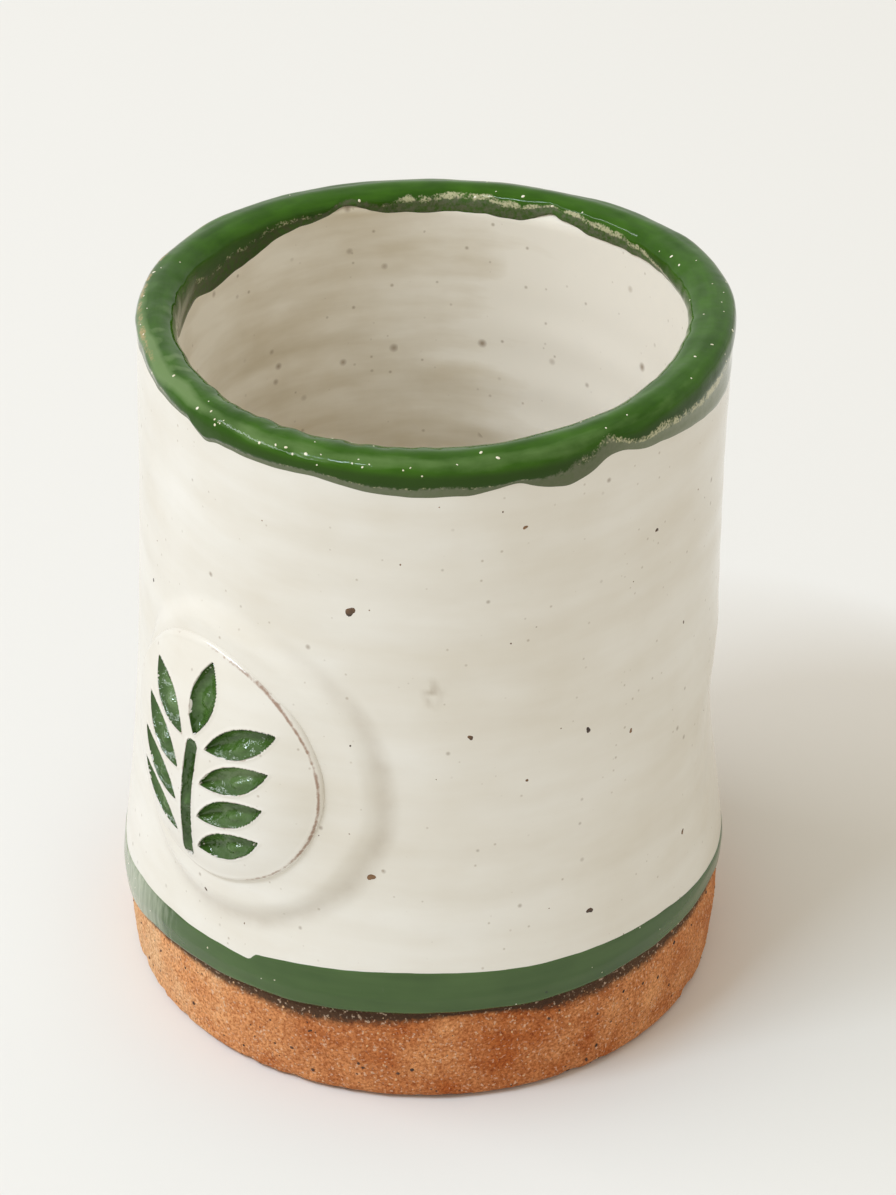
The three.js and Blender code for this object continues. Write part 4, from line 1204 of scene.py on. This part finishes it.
def scatter_tree():
    """Geometry nodes that scatter small flattened lumps where an attribute marks a mesh."""
    tree = bpy.data.node_groups.new("scattered_lumps", "GeometryNodeTree")
    kinds = {"Surface": "NodeSocketGeometry", "Lumps per square centimetre": "NodeSocketFloat",
             "Where": "NodeSocketString", "Smallest": "NodeSocketFloat", "Largest": "NodeSocketFloat",
             "Flatness": "NodeSocketFloat", "Seed": "NodeSocketInt", "Finish": "NodeSocketMaterial"}
    for name, kind in kinds.items():
        tree.interface.new_socket(name, in_out="INPUT", socket_type=kind)
    tree.interface.new_socket("Lumps", in_out="OUTPUT", socket_type="NodeSocketGeometry")
    add = functools.partial(add_node, tree)
    given = add("NodeGroupInput").outputs
    marked = add("GeometryNodeInputNamedAttribute", {"Name": given["Where"]}, data_type="FLOAT")
    density = add("ShaderNodeMath", {0: given["Lumps per square centimetre"], 1: CM2_IN_M2},
                  operation="MULTIPLY")
    density = add("ShaderNodeMath", {0: density, 1: marked}, operation="MULTIPLY")
    spots = add("GeometryNodeDistributePointsOnFaces", {
        "Mesh": given["Surface"], "Density": density, "Seed": given["Seed"]})
    even_size = add("FunctionNodeRandomValue", {2: 0, 3: 1, "Seed": given["Seed"]}, data_type="FLOAT")
    mostly_small = add("ShaderNodeMath", {0: even_size, 1: 3}, operation="POWER")
    size = add("ShaderNodeMapRange", {
        "Value": mostly_small, "To Min": given["Smallest"], "To Max": given["Largest"]})
    stretch = add("FunctionNodeRandomValue", {2: 0.55, 3: 1, "ID": 7}, data_type="FLOAT")
    long_side = add("ShaderNodeMath", {0: size, 1: stretch}, operation="MULTIPLY")
    high_side = add("ShaderNodeMath", {0: size, 1: given["Flatness"]}, operation="MULTIPLY")
    scale = add("ShaderNodeCombineXYZ", {0: size, 1: long_side, 2: high_side})
    spin = add("FunctionNodeRandomValue", {2: 0, 3: 2 * math.pi, "Seed": 5}, data_type="FLOAT")
    about_normal = add("ShaderNodeCombineXYZ", {2: spin})
    spin_turn = add("FunctionNodeEulerToRotation", {0: about_normal})
    facing = add("FunctionNodeRotateRotation", {0: spots.outputs["Rotation"], 1: spin_turn},
                 rotation_space="LOCAL")
    lump = add("GeometryNodeMeshIcoSphere", {"Radius": LUMP_RADIUS, "Subdivisions": 2})
    placed = add("GeometryNodeInstanceOnPoints", {
        "Points": spots.outputs["Points"], "Instance": lump, "Rotation": facing, "Scale": scale})
    real = add("GeometryNodeRealizeInstances", {0: placed})
    smooth = add("GeometryNodeSetShadeSmooth", {0: real})
    finished = add("GeometryNodeSetMaterial", {0: smooth, "Material": given["Finish"]})
    add("NodeGroupOutput", {0: finished})
    return tree


lump_tree = scatter_tree()


def scatter(name, surface, slot, where, per_cm2, smallest, largest, flatness, seed, material):
    """Scatter lumps on a piece where an attribute marks it, and keep them as a plain mesh."""
    inputs = {"Where": where, "Lumps per square centimetre": per_cm2, "Smallest": smallest,
              "Largest": largest, "Flatness": flatness, "Seed": seed, "Finish": material}
    holder = bpy.data.objects.new(name + "_holder", surface.data.copy())
    bpy.context.collection.objects.link(holder)
    modifier = holder.modifiers.new("scatter", "NODES")
    modifier.node_group = lump_tree
    for socket in lump_tree.interface.items_tree:
        if socket.in_out == "INPUT" and socket.name in inputs:
            modifier[socket.identifier] = inputs[socket.name]
    evaluated = holder.evaluated_get(bpy.context.evaluated_depsgraph_get())
    mesh = bpy.data.meshes.new_from_object(evaluated)
    bpy.data.objects.remove(holder)
    mesh.name = name
    print(name, len(mesh.polygons), "faces")
    add_piece(name, mesh, slot)


# %% Finishes of the grains
def speck_finish(name, dark, pale, roughness):
    """A small grain's own colour, varied from place to place."""
    material, add = new_material(name)
    place = add("ShaderNodeTexCoord").outputs["Object"]
    vary = add("ShaderNodeTexNoise", {"Vector": place, "Scale": per(3), "Detail": 2})
    colour = lay_over(add, dark, pale, vary, 0.35, 0.65)
    grain = add("ShaderNodeBsdfPrincipled", {"Base Color": colour, "Roughness": roughness})
    add("ShaderNodeOutputMaterial", {"Surface": grain})
    return material


pale_grog = speck_finish("pale_fired_grog", "#c48a58", "#dcb88e", 0.9)
dark_grit = speck_finish("dark_iron_grit", "#2c221c", "#5a3a28", 0.8)
iron_speck = speck_finish("iron_speck_under_glaze", "#33241a", "#86623f", 0.2)
# This finish also serves the painted highlight: the row of pale dots on the lip's front corner
pale_bubble_and_glint = speck_finish("healed_glaze_bubble_and_painted_glint", "#d8d2b4", "#f2eedc", 0.3)
print("grains of", ", ".join(finish.name for finish in (pale_grog, dark_grit, iron_speck, pale_bubble_and_glint)))

# %% Grains in the bare clay
# After the slot: where, lumps per cm2, smallest and largest width (mm), flatness, seed and finish
scatter("pale_grog_grains", thrown_clay, "bare_clay", "bare", 26, 0.16, 0.42, 0.5, 3, pale_grog)
scatter("dark_grit_grains", thrown_clay, "bare_clay", "bare", 7, 0.18, 0.7, 0.4, 11, dark_grit)

# %% Larger specks on the wall, as (degrees, height, width)
WALL_SPECKS = [
    (-61.3, 74.4, 1.3), (-57, 35.3, 1.0), (-18, 26.2, 0.95), (-40.5, 56.4, 0.7), (-18.5, 53.8, 0.75),
    (-8.5, 50.8, 0.6), (7.8, 29.4, 0.7), (-32, 86.1, 0.6), (-3, 78.6, 0.6), (-116.7, 63.4, 0.55)]
SPECK_HEIGHT = 0.06
SPECK_BACK = 0.2
SPECK_CORNERS = 14
speck_turns = np.linspace(0, 2 * np.pi, SPECK_CORNERS, endpoint=False)[:, None]
speck_shares = np.array([0, 0.4, 0.75, 1, 0.9, 0])[None, :]
speck_rises = np.array([1, 0.84, 0.44, 0, -1, -1])[None, :]
speck_out = np.where(speck_rises < 0, SPECK_BACK, SPECK_HEIGHT) * speck_rises
one_speck = np.array(ring_faces(SPECK_CORNERS, speck_shares.size, False))
speck_points = []
speck_faces = []
for number, (turn, height, width) in enumerate(WALL_SPECKS):
    uneven = 1 + 0.22 * np.sin(2 * speck_turns + number) + 0.12 * np.sin(3 * speck_turns + 2 * number)
    from_middle = speck_shares * uneven * width / 2
    speck_z = height + from_middle * np.sin(speck_turns)
    speck_angle = np.radians(turn) + from_middle * np.cos(speck_turns) / BELLY_RADIUS
    column = np.round((np.degrees(speck_angle) + 180) / 360 * COLUMNS).astype(int) % COLUMNS
    row = np.abs(wall_z[column] - speck_z[..., None]).argmin(axis=-1)
    out = wall_offset[column, row] + speck_out
    speck_points.append(press_by_hand(wall_radius(speck_z) + out, speck_angle, speck_z))
    speck_faces.extend((one_speck + SPECK_CORNERS * speck_shares.size * number).tolist())
speck_mesh = make_mesh("large_iron_specks", np.array(speck_points), speck_faces, {}, iron_speck)
add_piece("large_iron_specks", speck_mesh, "white_glaze")

# %% Specks and bubbles in the glazes
scatter("wall_iron_specks", wall_coat, "white_glaze", "shown", 0.25, 0.2, 0.7, 0.08, 21, iron_speck)
scatter("liner_iron_specks", liner_coat, "white_glaze", "shown", 0.15, 0.2, 0.8, 0.08, 22, iron_speck)
# The lip's pale dots are healed bubbles, and on the front a row of them is a painted highlight
scatter("lip_bubbles_and_painted_glints", green_lip, "green_glaze", "bubbles_and_painted_glints", 5, 0.24, 0.62, 0.3, 31, pale_bubble_and_glint)
scatter("band_bubbles", green_band, "band_green_glaze", "shown", 2.2, 0.16, 0.5, 0.3, 41, pale_bubble_and_glint)
